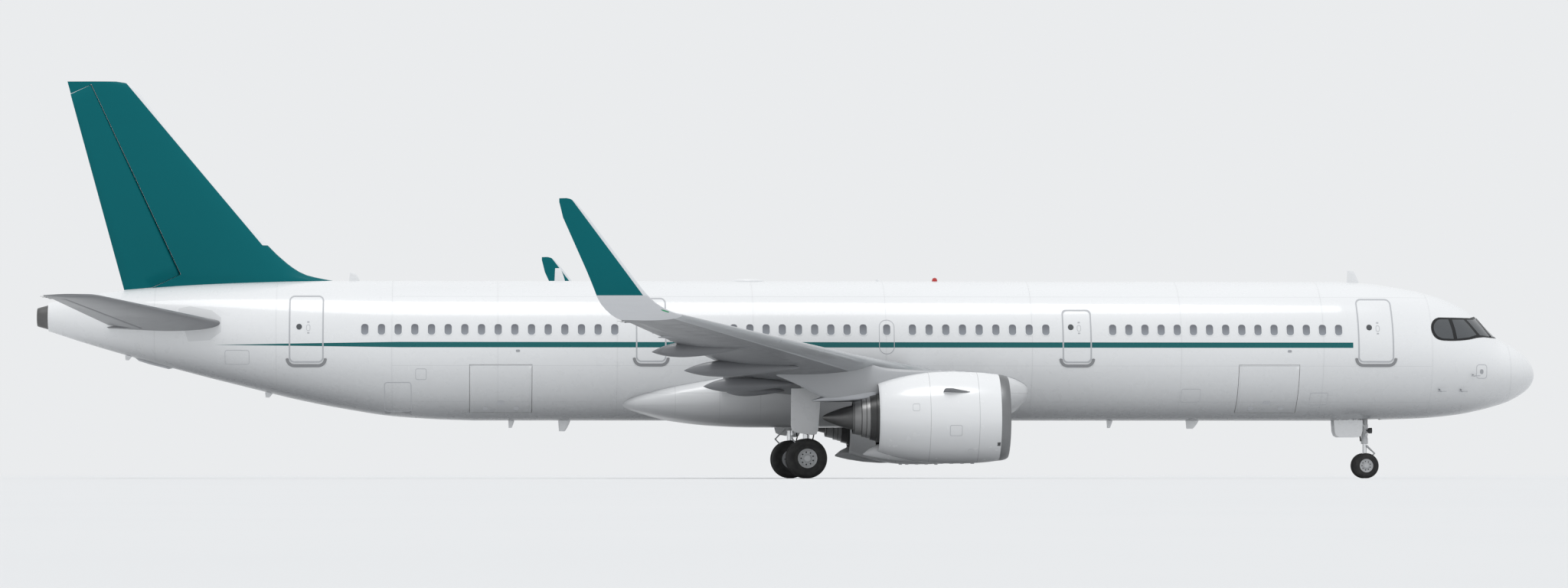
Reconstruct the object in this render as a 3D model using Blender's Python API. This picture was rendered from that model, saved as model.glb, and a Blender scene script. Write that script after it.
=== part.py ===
"""A twin-engine, single-aisle airliner standing on its landing gear, as a 1:2 scale model.

Every size below is the full-size aircraft's, in metres: x aft of the nose tip, y to port from the
plane of symmetry, z up from the ground. at() turns such a point into the model's own place, nose
towards +X, with the origin on the ground under the middle of the aircraft.
"""

import math

import bmesh
import bpy
from mathutils import Vector

SCALE = 0.5
LENGTH = 44.51
GAP = 0.0006            # between pieces that touch: 0.3 mm on the model
RUNNING_GAP = 0.012     # round a piece that moves: 6 mm on the model
PIN_GAP = 0.0005        # round an axle or a pin in its eye

# Fuselage
CABIN_HALF_WIDTH = 1.975
CABIN_TOP = 5.855
CABIN_BOTTOM = 1.713
CABIN_MIDDLE = 0.5 * (CABIN_TOP + CABIN_BOTTOM)
HULL_SIDES = 32

# Columns: x, half width, z of the bottom, z of the top, z of the widest point
NOSE_STATIONS = (
    (0.000, 0.05, 3.00, 3.11, 3.06),
    (0.050, 0.24, 2.86, 3.32, 3.08),
    (0.185, 0.46, 2.66, 3.54, 3.09),
    (0.450, 0.73, 2.46, 3.79, 3.10),
    (0.870, 1.02, 2.25, 4.03, 3.13),
    (1.220, 1.19, 2.14, 4.20, 3.18),
    (1.500, 1.31, 2.06, 4.50, 3.23),
    (1.770, 1.41, 2.00, 4.79, 3.29),
    (2.090, 1.51, 1.93, 5.03, 3.36),
    (2.630, 1.65, 1.85, 5.29, 3.46),
    (3.430, 1.79, 1.78, 5.545, 3.58),
    (4.240, 1.90, 1.755, 5.70, 3.68),
    (5.040, 1.955, 1.731, 5.81, 3.75),
    (6.000, CABIN_HALF_WIDTH, CABIN_BOTTOM, CABIN_TOP, CABIN_MIDDLE),
)
TAIL_STATIONS = (
    (31.60, CABIN_HALF_WIDTH, CABIN_BOTTOM, CABIN_TOP, CABIN_MIDDLE),
    (32.60, 1.970, 1.745, 5.855, 3.80),
    (34.00, 1.945, 1.84, 5.855, 3.84),
    (35.40, 1.875, 2.05, 5.855, 3.93),
    (36.74, 1.760, 2.31, 5.845, 4.04),
    (38.10, 1.590, 2.64, 5.810, 4.18),
    (39.50, 1.370, 2.99, 5.750, 4.34),
    (40.85, 1.120, 3.35, 5.660, 4.50),
    (42.20, 0.840, 3.73, 5.530, 4.64),
    (43.20, 0.620, 4.03, 5.390, 4.72),
    (44.18, 0.370, 4.35, 5.190, 4.77),
)
HULL_STATIONS = NOSE_STATIONS + TAIL_STATIONS

# Columns: node, x of the front joint, x of the rear joint. They are the aircraft's production joints.
HULL_SECTIONS = (
    ("nose_radome", 0.0, 0.87),
    ("nose_fuselage", 0.87, 6.6),
    ("forward_fuselage", 6.6, 15.2),
    ("centre_fuselage", 15.2, 27.4),
    ("rear_fuselage", 27.4, 34.0),
    ("tail_cone", 34.0, 44.18),
)

# Exhaust ring of the auxiliary power unit, turned about an axis along x. Columns: x, radius
EXHAUST_PLACE = (44.1806, 0.0, 4.76)
EXHAUST_PROFILE = ((44.1806, 0.0), (44.1806, 0.36), (44.51, 0.27), (44.51, 0.235), (44.25, 0.25), (44.25, 0.0))

# Wing-body fairing. Columns: x, half width, z of the bottom, z of the top
FAIRING_STATIONS = (
    (15.30, 1.72, 1.90, 3.10),
    (15.80, 1.94, 1.76, 3.34),
    (16.60, 2.05, 1.66, 3.50),
    (17.80, 2.13, 1.56, 3.56),
    (19.60, 2.17, 1.51, 3.56),
    (23.40, 2.17, 1.51, 3.44),
    (24.60, 2.11, 1.56, 3.16),
    (25.80, 2.00, 1.70, 2.86),
    (26.60, 1.80, 1.86, 2.60),
    (27.20, 1.40, 2.02, 2.40),
)
FAIRING_SQUARENESS = 2.6  # exponent of its rounded-square section

# Wing. Columns: y, x of the leading edge, z of the leading edge, chord, thickness share, fall to the rear
WING_STATIONS = (
    (1.00, 17.46, 2.87, 6.95, 0.150, 0.050),
    (2.20, 18.13, 2.98, 6.24, 0.148, 0.055),
    (4.30, 19.31, 3.18, 5.09, 0.132, 0.060),
    (6.40, 20.49, 3.38, 3.94, 0.120, 0.062),
    (11.40, 23.29, 3.85, 2.78, 0.112, 0.068),
    (16.40, 26.09, 4.32, 1.62, 0.108, 0.075),
)
WING_ROOT_X = WING_STATIONS[0][1]

# Sharklet. Columns: y, z, x of the leading edge, chord, thickness, cant from the horizontal in degrees
SHARKLET_STATIONS = (
    (16.40, 4.320, 26.09, 1.62, 0.170, 0.0),
    (16.85, 4.400, 26.40, 1.58, 0.140, 16.0),
    (17.25, 4.610, 26.80, 1.45, 0.125, 42.0),
    (17.48, 4.980, 27.17, 1.26, 0.110, 66.0),
    (17.62, 5.480, 27.56, 1.08, 0.090, 77.0),
    (17.82, 6.850, 28.60, 0.66, 0.055, 82.0),
    (17.88, 7.250, 28.94, 0.42, 0.035, 82.0),
    (17.90, 7.340, 29.16, 0.20, 0.020, 82.0),
)

# Columns: chord share, half thickness as a share of the greatest half thickness. The blunt tail is 4 %.
AIRFOIL = (
    (0.000, 0.00), (0.008, 0.28), (0.03, 0.50), (0.08, 0.74), (0.18, 0.94), (0.33, 1.00),
    (0.50, 0.89), (0.68, 0.62), (0.85, 0.30), (1.000, 0.04),
)

# Trailing surfaces. Columns: node, y and chord share of the inner hinge end, the same of the outer
FLAPS = (
    ("inboard_flap", 2.45, 0.76, 6.20, 0.72),
    ("outboard_flap", 6.70, 0.72, 12.90, 0.72),
)
AILERON = ("aileron", 13.05, 0.73, 15.85, 0.73)
SLAT_FROM, SLAT_TO, SLAT_SHARE = 2.75, 16.0, 0.14

# Flap track fairings. Columns: y, x of the front, x of the tail, z of the axis at the front and tail, radius
FLAP_TRACKS = (
    (4.75, 22.20, 24.95, 2.78, 2.70, 0.19),
    (7.60, 22.70, 26.10, 3.08, 2.94, 0.20),
    (11.10, 24.40, 27.35, 3.50, 3.34, 0.17),
)

TRACK_TAPER = ((0.0, 0.10), (0.10, 0.55), (0.32, 0.95), (0.55, 1.0), (0.80, 0.62), (1.0, 0.10))  # share, size

# Fin. Columns: z, x of the leading edge, x of the trailing edge, thickness
FIN_STATIONS = (
    (5.10, 35.20, 41.88, 0.50),
    (5.84, 35.75, 42.07, 0.50),
    (6.02, 36.56, 42.12, 0.50),
    (6.36, 37.13, 42.21, 0.49),
    (6.93, 37.74, 42.36, 0.47),
    (9.20, 39.78, 42.97, 0.32),
    (11.40, 41.51, 43.56, 0.19),
    (11.68, 41.84, 43.635, 0.16),
    (11.76, 42.20, 43.655, 0.12),
)
RUDDER_FOOT = (40.41, 5.98)
RUDDER_HEAD = (43.00, 11.64)

# Tailplane. Columns: y, x of the leading edge, z, chord, thickness share
TAILPLANE_STATIONS = (
    (0.45, 38.36, 4.42, 3.90, 0.105),
    (3.30, 40.36, 4.81, 2.68, 0.100),
    (5.85, 42.14, 5.16, 1.60, 0.095),
    (6.12, 42.42, 5.19, 1.38, 0.080),
    (6.22, 42.80, 5.21, 1.02, 0.060),
)
HINGE_PIN_RADIUS = 0.022  # of the pins at the ends of the hinged surfaces
ELEVATOR = ("elevator", 1.32, 0.70, 5.80, 0.70)

# Engines, both turned about an axis along x. Columns of the profiles: x, radius
ENGINE_Y = 5.75
ENGINE_Z = 1.74
ENGINE_SIDES = 24
CORE_SIDES = 20
LIP_REAR = 16.62
LIP_PROFILE = (
    (LIP_REAR, 1.235), (16.48, 1.215), (16.38, 1.185), (16.34, 1.145), (16.37, 1.095),
    (16.46, 1.05), (LIP_REAR, 1.02),
)
COWL_PROFILE = (
    (16.6206, 1.235), (17.00, 1.285), (17.60, 1.312), (18.30, 1.310), (18.95, 1.255),
    (19.55, 1.14), (20.06, 0.985),
    (20.06, 0.960), (19.50, 1.050), (18.80, 1.085), (17.80, 1.05), (17.20, 1.02), (16.6206, 1.02),
)
DUCT_PROFILE = ((17.80, 0.0), (17.80, 1.05), (18.80, 1.085), (19.50, 1.050), (20.06, 0.960), (20.06, 0.0))
CORE_PROFILE = (
    (17.62, 0.0), (17.62, 0.46), (17.90, 0.60), (18.60, 0.78), (19.30, 0.82), (20.06, 0.715),
    (20.40, 0.585), (20.78, 0.465), (20.78, 0.435), (20.45, 0.455), (20.45, 0.0),
)
PLUG_PROFILE = (
    (20.4506, 0.0), (20.4506, 0.36), (20.80, 0.345), (21.15, 0.25), (21.45, 0.13), (21.65, 0.02), (21.65, 0.0),
)
FAN_FRONT, FAN_REAR = 17.16, 17.46
FAN_RADIUS = 1.0
FAN_BLADES = 18
SPINNER_PROFILE = (
    (16.86, 0.0), (16.89, 0.06), (17.00, 0.17), (17.16, 0.27), (17.46, 0.33), (17.50, 0.33), (17.50, 0.12),
    (17.6193, 0.12), (17.6193, 0.0),
)
STRUT_HALF_WIDTH = 0.10
PYLON_OUTLINE = (  # x, z of the pylon's side, before the wing and the nacelle are cut from it
    (17.20, 3.02), (18.00, 3.12), (19.00, 3.27), (20.00, 3.44), (20.60, 3.56), (22.60, 3.20), (22.95, 3.08),
    (22.80, 2.84), (21.80, 2.55), (20.90, 2.42), (20.20, 2.44), (19.40, 2.60), (17.60, 2.80),
)
PYLON_HALF_WIDTH = 0.20

# Landing gear
NOSE_GEAR_X = 5.07
NOSE_TYRE_RADIUS, NOSE_TYRE_WIDTH, NOSE_WHEEL_Y = 0.38, 0.22, 0.25
NOSE_RIM_RADIUS = 0.20
NOSE_LEG_RADIUS, NOSE_PISTON_RADIUS, NOSE_AXLE_RADIUS = 0.10, 0.065, 0.045
NOSE_LEG_FOOT = 1.02
NOSE_BAY = (4.62, 6.05, 0.30, 2.45)  # x from, x to, half width, roof
MAIN_GEAR_X = 21.98
MAIN_GEAR_Y = 3.795
MAIN_TYRE_RADIUS, MAIN_TYRE_WIDTH, MAIN_WHEEL_Y = 0.585, 0.42, 0.465
MAIN_RIM_RADIUS = 0.28
MAIN_LEG_RADIUS, MAIN_PISTON_RADIUS, MAIN_AXLE_RADIUS = 0.15, 0.10, 0.075
MAIN_LEG_FOOT = 1.45
TYRE_SIDES = 20
ROD_SIDES = 14
TYRE_CROWN = (  # share of the half width, share of the way from rim to tread
    (0.70, 0.0), (0.98, 0.25), (0.98, 0.66), (0.78, 0.92), (0.35, 1.0),
)

# Cargo doors, starboard. Columns: node, x of the front edge, x of the rear edge
CARGO_DOORS = (("forward_cargo_door", 7.31, 9.09), ("aft_cargo_door", 29.90, 31.72))
DOOR_TOP_DEG, DOOR_FOOT_DEG = -13.5, -64.0
DOOR_THICKNESS = 0.09
HINGE_RADIUS = 0.022
HOLD = (-1.70, 1.05, 2.26, 3.16)  # y from, y to, floor, ceiling

# Cockpit glazing, its outline as seen from the side: x, z
GLAZING_OUTLINE = ((1.16, 4.24), (1.64, 4.23), (2.41, 4.12), (3.04, 4.46), (2.76, 4.79), (1.72, 4.79), (1.16, 4.60))
GLAZING_THICKNESS = 0.05

PAINT = {  # red, green, blue, metallic, roughness
    "white_paint": (0.82, 0.83, 0.84, 0.0, 0.30),
    "grey_paint": (0.46, 0.48, 0.50, 0.0, 0.38),
    "teal_paint": (0.0, 0.13, 0.13, 0.0, 0.30),
    "bare_metal": (0.62, 0.63, 0.65, 1.0, 0.30),
    "dark_metal": (0.16, 0.16, 0.17, 1.0, 0.45),
    "window_glass": (0.02, 0.02, 0.025, 0.0, 0.10),
    "tyre_rubber": (0.02, 0.02, 0.02, 0.0, 0.80),
}


def at(x, y, z):
    """The model's own place of a point that is given in full-size stations."""
    return Vector(((0.5 * LENGTH - x) * SCALE, y * SCALE, z * SCALE))


def material(name):
    """The named paint or metal as a Principled material, made once."""
    found = bpy.data.materials.get(name)
    if found:
        return found
    red, green, blue, metallic, roughness = PAINT[name]
    made = bpy.data.materials.new(name)
    made.use_nodes = True
    shader = made.node_tree.nodes["Principled BSDF"]
    shader.inputs["Base Color"].default_value = (red, green, blue, 1.0)
    shader.inputs["Metallic"].default_value = metallic
    shader.inputs["Roughness"].default_value = roughness
    return made


def add(name, mesh, paint, origin=None, helper=False):
    """A mesh in full-size stations becomes an object of the model with its origin at a station point."""
    place = at(*(origin or (0.5 * LENGTH, 0.0, 0.0)))
    for vertex in mesh.verts:
        vertex.co = at(*vertex.co) - place
    bmesh.ops.remove_doubles(mesh, verts=mesh.verts, dist=1e-6)
    bmesh.ops.recalc_face_normals(mesh, faces=mesh.faces)
    bmesh.ops.triangulate(mesh, faces=mesh.faces)
    data = bpy.data.meshes.new(name)
    mesh.to_mesh(data)
    mesh.free()
    data.materials.append(material(paint))
    data.shade_smooth()
    data.set_sharp_from_angle(angle=math.radians(35))
    made = bpy.data.objects.new(name, data)
    made.location = place
    bpy.context.scene.collection.objects.link(made)
    if helper:
        made.hide_render = True
        made.display_type = "WIRE"
    return made


def combine(target, tool, operation="DIFFERENCE", solver="EXACT"):
    """Adds one Boolean of a hidden tool to an object."""
    modifier = target.modifiers.new(operation.title(), "BOOLEAN")
    modifier.object = tool
    modifier.operation = operation
    modifier.solver = solver


def skin(rings, closed=False):
    """A mesh through rings of points. Its ends are filled, or joined to each other when closed."""
    mesh = bmesh.new()
    rows = [[mesh.verts.new(point) for point in ring] for ring in rings]
    pairs = list(zip(rows, rows[1:] + rows[:1] if closed else rows[1:]))
    for near, far in pairs:
        for i in range(len(near)):
            j = (i + 1) % len(near)
            mesh.faces.new((near[i], near[j], far[j], far[i]))
    if not closed:
        mesh.faces.new(rows[0])
        mesh.faces.new(rows[-1])
    return mesh


def box_mesh(x0, x1, y0, y1, z0, z1):
    """A box between two values on each axis."""
    return skin([[(x, y0, z0), (x, y1, z0), (x, y1, z1), (x, y0, z1)] for x in (x0, x1)])


def plate_mesh(outline, y0, y1):
    """A flat plate with an outline of x, z points between two values of y."""
    return skin([[(x, y, z) for x, z in outline] for y in (y0, y1)])


def rod_mesh(start, end, radius, sides=ROD_SIDES, end_radius=None):
    """A round rod, or a taper, between two points."""
    start, end = Vector(start), Vector(end)
    along = (end - start).normalized()
    across = along.orthogonal().normalized()
    other = along.cross(across)
    rings = []
    for centre, size in ((start, radius), (end, end_radius or radius)):
        turns = [2 * math.pi * (i + 0.5) / sides for i in range(sides)]
        rings.append([centre + size * (math.cos(t) * across + math.sin(t) * other) for t in turns])
    return skin(rings)


def lathe_mesh(profile, centre, axis, sides):
    """A turned solid. The profile's points are distance along the axis and radius, listed round the solid.

    The axis is "x" or "y". Facets straddle the vertical, so a wheel stands on a flat one.
    """
    mesh = bmesh.new()
    rings = []
    for i in range(sides):
        turn = 2 * math.pi * (i + 0.5) / sides
        ring = []
        for along, radius in profile:
            across, up = radius * math.sin(turn), radius * math.cos(turn)
            offset = (along, across, up) if axis == "x" else (across, along, up)
            ring.append(mesh.verts.new(Vector(centre) + Vector(offset)))
        rings.append(ring)
    whole = profile[0][1] > 0 and profile[-1][1] > 0
    count = len(profile) if whole else len(profile) - 1
    for near, far in zip(rings, rings[1:] + rings[:1]):
        for i in range(count):
            j = (i + 1) % len(profile)
            mesh.faces.new((near[i], near[j], far[j], far[i]))
    bmesh.ops.remove_doubles(mesh, verts=mesh.verts, dist=1e-5)
    bmesh.ops.dissolve_degenerate(mesh, edges=mesh.edges, dist=1e-6)
    return mesh


def hull_row(x):
    """Half width, bottom, top and middle of the fuselage at a station, between the table's rows."""
    for low, high in zip(HULL_STATIONS, HULL_STATIONS[1:]):
        if x <= high[0]:
            share = (x - low[0]) / (high[0] - low[0])
            return [a + share * (b - a) for a, b in zip(low[1:], high[1:])]
    return HULL_STATIONS[-1][1:]


def hull_ring(x, grow=0.0):
    """One ring of the fuselage: half an ellipse above the widest point and half of another below it."""
    half, bottom, top, middle = hull_row(x)
    half, bottom, top = half + grow, bottom - grow, top + grow
    ring = []
    for i in range(HULL_SIDES):
        turn = 2 * math.pi * i / HULL_SIDES
        rise = top - middle if math.sin(turn) > 0 else middle - bottom
        ring.append((x, half * math.cos(turn), middle + rise * math.sin(turn)))
    return ring


def hull_mesh(start, end, grow=0.0):
    """The fuselage between two stations, grown or shrunk all round."""
    inner = [row[0] for row in HULL_STATIONS if start + 1e-4 < row[0] < end - 1e-4]
    return skin([hull_ring(x, grow) for x in (start, *inner, end)])


def fairing_mesh(grow=0.0):
    """The wing-body fairing as a whole, before the fuselage is cut from it."""
    rings = []
    for x, half, bottom, top in FAIRING_STATIONS:
        middle, rise = 0.5 * (top + bottom), 0.5 * (top - bottom) + grow
        ring = []
        for i in range(HULL_SIDES):
            turn = 2 * math.pi * i / HULL_SIDES
            side, up = math.cos(turn), math.sin(turn)
            power = 2.0 / FAIRING_SQUARENESS
            across = math.copysign(abs(side) ** power, side)
            high = math.copysign(abs(up) ** power, up)
            ring.append((x, (half + grow) * across, middle + rise * high))
        rings.append(ring)
    return skin(rings)


def airfoil_ring(leading, chord, half_thickness, along, normal):
    """A closed airfoil section from its leading edge, with its chord's and its thickness's directions."""
    leading, along, normal = Vector(leading), Vector(along), Vector(normal)
    upper = [leading + chord * x * along + half_thickness * t * normal for x, t in AIRFOIL]
    lower = [leading + chord * x * along - half_thickness * t * normal for x, t in AIRFOIL[1:]]
    return upper + lower[::-1]


def wing_row(y):
    """The wing's table at a distance y from the middle: x, z, chord, thickness share and fall."""
    for low, high in zip(WING_STATIONS, WING_STATIONS[1:]):
        if y <= high[0]:
            share = (y - low[0]) / (high[0] - low[0])
            return [a + share * (b - a) for a, b in zip(low[1:], high[1:])]
    return WING_STATIONS[-1][1:]


def wing_ring(y, side, grow=0.0):
    """One section of the wing, parallel to the plane of symmetry."""
    x, z, chord, share, fall = wing_row(y)
    along = (1.0, 0.0, -fall)
    start = (x - grow, side * y, z)
    return airfoil_ring(start, chord + 2 * grow, 0.5 * share * chord + grow, along, (0, 0, 1))


def wing_mesh(side, grow=0.0):
    """A whole wing without its sharklet."""
    return skin([wing_ring(row[0], side, grow) for row in WING_STATIONS])


def wing_point(y, share, side):
    """The middle of the wing's thickness at a share of its chord, and half its thickness there."""
    x, z, chord, thick, fall = wing_row(y)
    half = 0.0
    for low, high in zip(AIRFOIL, AIRFOIL[1:]):
        if low[0] <= share <= high[0]:
            half = low[1] + (high[1] - low[1]) * (share - low[0]) / (high[0] - low[0])
    return Vector((x + share * chord, side * y, z - fall * share * chord)), 0.5 * thick * chord * half


def tail_ring(row, side):
    """One section of the tailplane."""
    y, x, z, chord, share = row
    return airfoil_ring((x, side * y, z), chord, 0.5 * share * chord, (1, 0, -0.012), (0, 0, 1))


def tail_point(y, share, side):
    """As wing_point, for the tailplane."""
    for low, high in zip(TAILPLANE_STATIONS, TAILPLANE_STATIONS[1:]):
        if y <= high[0]:
            part = (y - low[0]) / (high[0] - low[0])
            x, z, chord, thick = [a + part * (b - a) for a, b in zip(low[1:], high[1:])]
            break
    half = AIRFOIL[-3][1] + 0.03
    return Vector((x + share * chord, side * y, z - 0.012 * share * chord)), 0.5 * thick * chord * half


def surface_mesh(start, end, lift, chords, radii, rear=0.008):
    """A hinged or fixed trailing surface: a round nose about its hinge line and a taper to its rear edge.

    start and end are the hinge line's ends, lift is roughly square to the surface, and chords and radii
    are the length behind the hinge and the nose's radius at each end. Both ends are square to the hinge.
    """
    axis = (end - start).normalized()
    normal = (Vector(lift) - axis * axis.dot(Vector(lift))).normalized()
    back = axis.cross(normal)
    back = back if back.x > 0 else -back
    rings = []
    for centre, chord, radius in zip((start, end), chords, radii):
        ring = []
        for i in range(7):
            turn = math.pi * (0.5 + i / 6)
            ring.append(centre + radius * (math.cos(turn) * back + math.sin(turn) * normal))
        ring += [centre + chord * back - rear * normal, centre + chord * back + rear * normal]
        rings.append(ring)
    return skin(rings)


def slot_mesh(start, end, lift, reach, radii, margin, over=0.45):
    """The space that a trailing surface works in, open to the rear and as deep as its nose plus a margin."""
    axis = (end - start).normalized()
    normal = (Vector(lift) - axis * axis.dot(Vector(lift))).normalized()
    back = axis.cross(normal)
    back = back if back.x > 0 else -back
    rings = []
    for centre, radius, way in zip((start, end), radii, (-1, 1)):
        place = centre + way * margin * axis
        front, rear = -(radius + margin) * back, reach * back
        rings.append([place + front + over * normal, place + front - over * normal,
                      place + rear - over * normal, place + rear + over * normal])
    return skin(rings)


def trailing_surface(owner, name, start, end, lift, chords, radii, margin, paint, solver="EXACT"):
    """Makes a trailing surface and cuts its space out of the wing, fin or tailplane that carries it."""
    made = add(name, surface_mesh(start, end, lift, chords, radii), paint, origin=start)
    if margin >= RUNNING_GAP:
        reach = (margin - GAP) * (end - start).normalized()
        pin = add(name + "_pin", rod_mesh(start - reach, end + reach, HINGE_PIN_RADIUS, 10), paint, helper=True)
        combine(made, pin, "UNION")
    slot = add(name + "_slot", slot_mesh(start, end, lift, 3.0, radii, margin), paint, helper=True)
    combine(owner, slot, solver=solver)
    return made


def build_fuselage():
    """The fuselage in its production sections, as solids."""
    sections = {}
    for name, start, end in HULL_SECTIONS:
        last = end if name == HULL_SECTIONS[-1][0] else end - GAP
        sections[name] = add(name, hull_mesh(start, last), "white_paint", origin=(start, 0.0, CABIN_MIDDLE))
    add("apu_exhaust", lathe_mesh(EXHAUST_PROFILE, (0.0, 0.0, EXHAUST_PLACE[2]), "x", 24), "dark_metal", origin=EXHAUST_PLACE)
    return sections


def build_glazing(sections):
    """The cockpit's glazing, a band let into the skin from one side round the front to the other."""
    outside = add("glazing_outside", hull_mesh(0.9, 3.6), "window_glass", helper=True)
    inside = add("glazing_inside", hull_mesh(0.7, 3.8, -GLAZING_THICKNESS), "window_glass", helper=True)
    seat_inside = add("glazing_seat", hull_mesh(0.7, 3.8, -GLAZING_THICKNESS - GAP), "window_glass", helper=True)
    glazing = add("cockpit_glazing", plate_mesh(GLAZING_OUTLINE, -2.0, 2.0), "window_glass")
    combine(glazing, outside, "INTERSECT")
    combine(glazing, inside)
    middle = Vector((2.1, 0.0, 4.46))
    wider = []
    for x, z in GLAZING_OUTLINE:
        way = Vector((x, 0.0, z)) - middle
        grown = middle + way * (1.0 + 2.5 * GAP / way.length)
        wider.append((grown.x, grown.z))
    pocket = add("glazing_pocket", plate_mesh(wider, -2.1, 2.1), "window_glass", helper=True)
    combine(pocket, seat_inside)
    combine(sections["nose_fuselage"], pocket)


def wedge_mesh(x0, x1, low_deg, high_deg):
    """A wedge on the starboard side from the fuselage's middle line out past its skin, between two angles."""
    outer = 3.2
    points = [(0.0, CABIN_MIDDLE)]
    for degrees in (low_deg, 0.5 * (low_deg + high_deg), high_deg):
        turn = math.radians(degrees)
        points.append((-outer * math.cos(turn), CABIN_MIDDLE + outer * math.sin(turn)))
    return skin([[(x, y, z) for y, z in points] for x in (x0, x1)])


def hinge_place():
    """y and z of the cargo doors' hinge line, let in from the skin by its own radius."""
    turn = math.radians(DOOR_TOP_DEG)
    rise = CABIN_MIDDLE - CABIN_BOTTOM
    return (-(CABIN_HALF_WIDTH - HINGE_RADIUS) * math.cos(turn), CABIN_MIDDLE + (rise - HINGE_RADIUS) * math.sin(turn))


def build_cargo_doors(sections):
    """The two cargo doors, hinged along their upper edges, and the holds behind them."""
    y, z = hinge_place()
    margin = math.degrees(RUNNING_GAP / CABIN_HALF_WIDTH)
    for name, x0, x1 in CARGO_DOORS:
        body = sections["forward_fuselage" if name.startswith("forward") else "rear_fuselage"]
        door = add(name, wedge_mesh(x0, x1, DOOR_FOOT_DEG, DOOR_TOP_DEG), "grey_paint", origin=(x0, y, z))
        skin_outside = add(name + "_outside", hull_mesh(x0 - 0.5, x1 + 0.5), "grey_paint", helper=True)
        skin_inside = add(name + "_inside", hull_mesh(x0 - 0.6, x1 + 0.6, -DOOR_THICKNESS), "grey_paint", helper=True)
        bead = add(name + "_bead", rod_mesh((x0 - RUNNING_GAP + GAP, y, z), (x1 + RUNNING_GAP - GAP, y, z), HINGE_RADIUS,
                                            16), "grey_paint", helper=True)
        combine(door, skin_outside, "INTERSECT")
        combine(door, skin_inside)
        combine(door, bead, "UNION")
        wedge = wedge_mesh(x0 - RUNNING_GAP, x1 + RUNNING_GAP, DOOR_FOOT_DEG - margin, DOOR_TOP_DEG + margin)
        seat = add(name + "_seat", wedge, "grey_paint", helper=True)
        seat_inside = add(name + "_seat_inside", hull_mesh(x0 - 0.6, x1 + 0.6, -DOOR_THICKNESS - RUNNING_GAP),
                          "grey_paint", helper=True)
        combine(seat, seat_inside)
        room = add(name + "_bead_room", rod_mesh((x0 - RUNNING_GAP, y, z), (x1 + RUNNING_GAP, y, z),
                                                 HINGE_RADIUS + RUNNING_GAP, 16), "grey_paint", helper=True)
        hold = add(name + "_hold", box_mesh(x0 + 0.06, x1 - 0.06, HOLD[0], HOLD[1], HOLD[2], HOLD[3]), "grey_paint",
                   helper=True)
        for tool in (seat, room, hold):
            combine(body, tool)


def build_fairing():
    """The wing-body fairing under and beside the centre section."""
    made = add("belly_fairing", fairing_mesh(), "white_paint", origin=(19.6, 0.0, 1.6))
    combine(made, add("fairing_seat", hull_mesh(13.0, 30.0, GAP), "white_paint", helper=True))
    return made


def track_mesh(row, side, grow=0.0):
    """One flap track fairing, a long pod that tapers at both ends."""
    y, x0, x1, z0, z1, radius = row
    rings = []
    for share, size in TRACK_TAPER:
        x, z = x0 + share * (x1 - x0), z0 + share * (z1 - z0)
        turns = [2 * math.pi * i / 12 for i in range(12)]
        wide, high = 0.75 * radius * size + grow, radius * size + grow
        rings.append([(x, side * y + wide * math.cos(t), z + high * math.sin(t)) for t in turns])
    return skin(rings)


def build_wing(side, letter):
    """One wing with its slat, flaps, aileron, flap track fairings and sharklet."""
    root = (WING_STATIONS[1][1], side * WING_STATIONS[1][0], WING_STATIONS[1][2])
    wing = add("wing_" + letter, wing_mesh(side), "grey_paint", origin=root)
    combine(wing, add("wing_seat_hull_" + letter, hull_mesh(12.5, 30.5, GAP), "grey_paint", helper=True))
    combine(wing, add("wing_seat_fairing_" + letter, fairing_mesh(GAP), "grey_paint", helper=True))

    slat_line = [wing_point(y, SLAT_SHARE, side)[0] for y in (SLAT_FROM, SLAT_TO)]
    slat = add("slat_" + letter, wing_mesh(side), "bare_metal", origin=slat_line[0])
    for target, back, ends in ((slat, 0.0, 0.0), (wing, GAP, GAP)):
        (xa, ya, za), (xb, yb, zb) = slat_line
        ya, yb = ya - side * ends, yb + side * ends
        outline = [(xa + back, ya), (xb + back, yb), (xb - 2.0, yb), (xa - 2.0, ya)]
        name = "slat_cut_" + ("in_" if target is slat else "out_") + letter
        cutter = add(name, skin([[(x, y, z) for x, y in outline] for z in (1.5, 6.0)]), "grey_paint", helper=True)
        combine(target, cutter, "INTERSECT" if target is slat else "DIFFERENCE")

    rooms = [add(f"flap_track_room_{index}_{letter}", track_mesh(row, side, 2 * GAP), "grey_paint", helper=True)
             for index, row in enumerate(FLAP_TRACKS)]
    rows = [(name, GAP * 2, "grey_paint", row) for name, *row in FLAPS]
    rows.append((AILERON[0], RUNNING_GAP * 1.2, "grey_paint", AILERON[1:]))
    for name, margin, paint, (y0, share0, y1, share1) in rows:
        start, half0 = wing_point(y0, share0, side)
        end, half1 = wing_point(y1, share1, side)
        chords = [wing_row(y)[2] * (1 - share) * 0.995 for y, share in ((y0, share0), (y1, share1))]
        made = trailing_surface(wing, name + "_" + letter, start, end, (0, 0, 1), chords, (half0, half1), margin, paint)
        for room, row in zip(rooms, FLAP_TRACKS):
            if y0 < row[0] < y1:
                combine(made, room)
    for index, row in enumerate(FLAP_TRACKS):
        track = add(f"flap_track_{index}_{letter}", track_mesh(row, side), "grey_paint", helper=True)
        combine(wing, track, "UNION")

    rings = []
    for y, z, x, chord, thick, cant in SHARKLET_STATIONS:
        turn = math.radians(cant)
        start = Vector((x, side * (y + GAP), z))
        rings.append(airfoil_ring(start, chord, 0.5 * thick, (1, 0, -0.02), (0, -side * math.sin(turn), math.cos(turn))))
    add("sharklet_" + letter, skin(rings), "teal_paint", origin=rings[0][0])
    return wing


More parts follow.
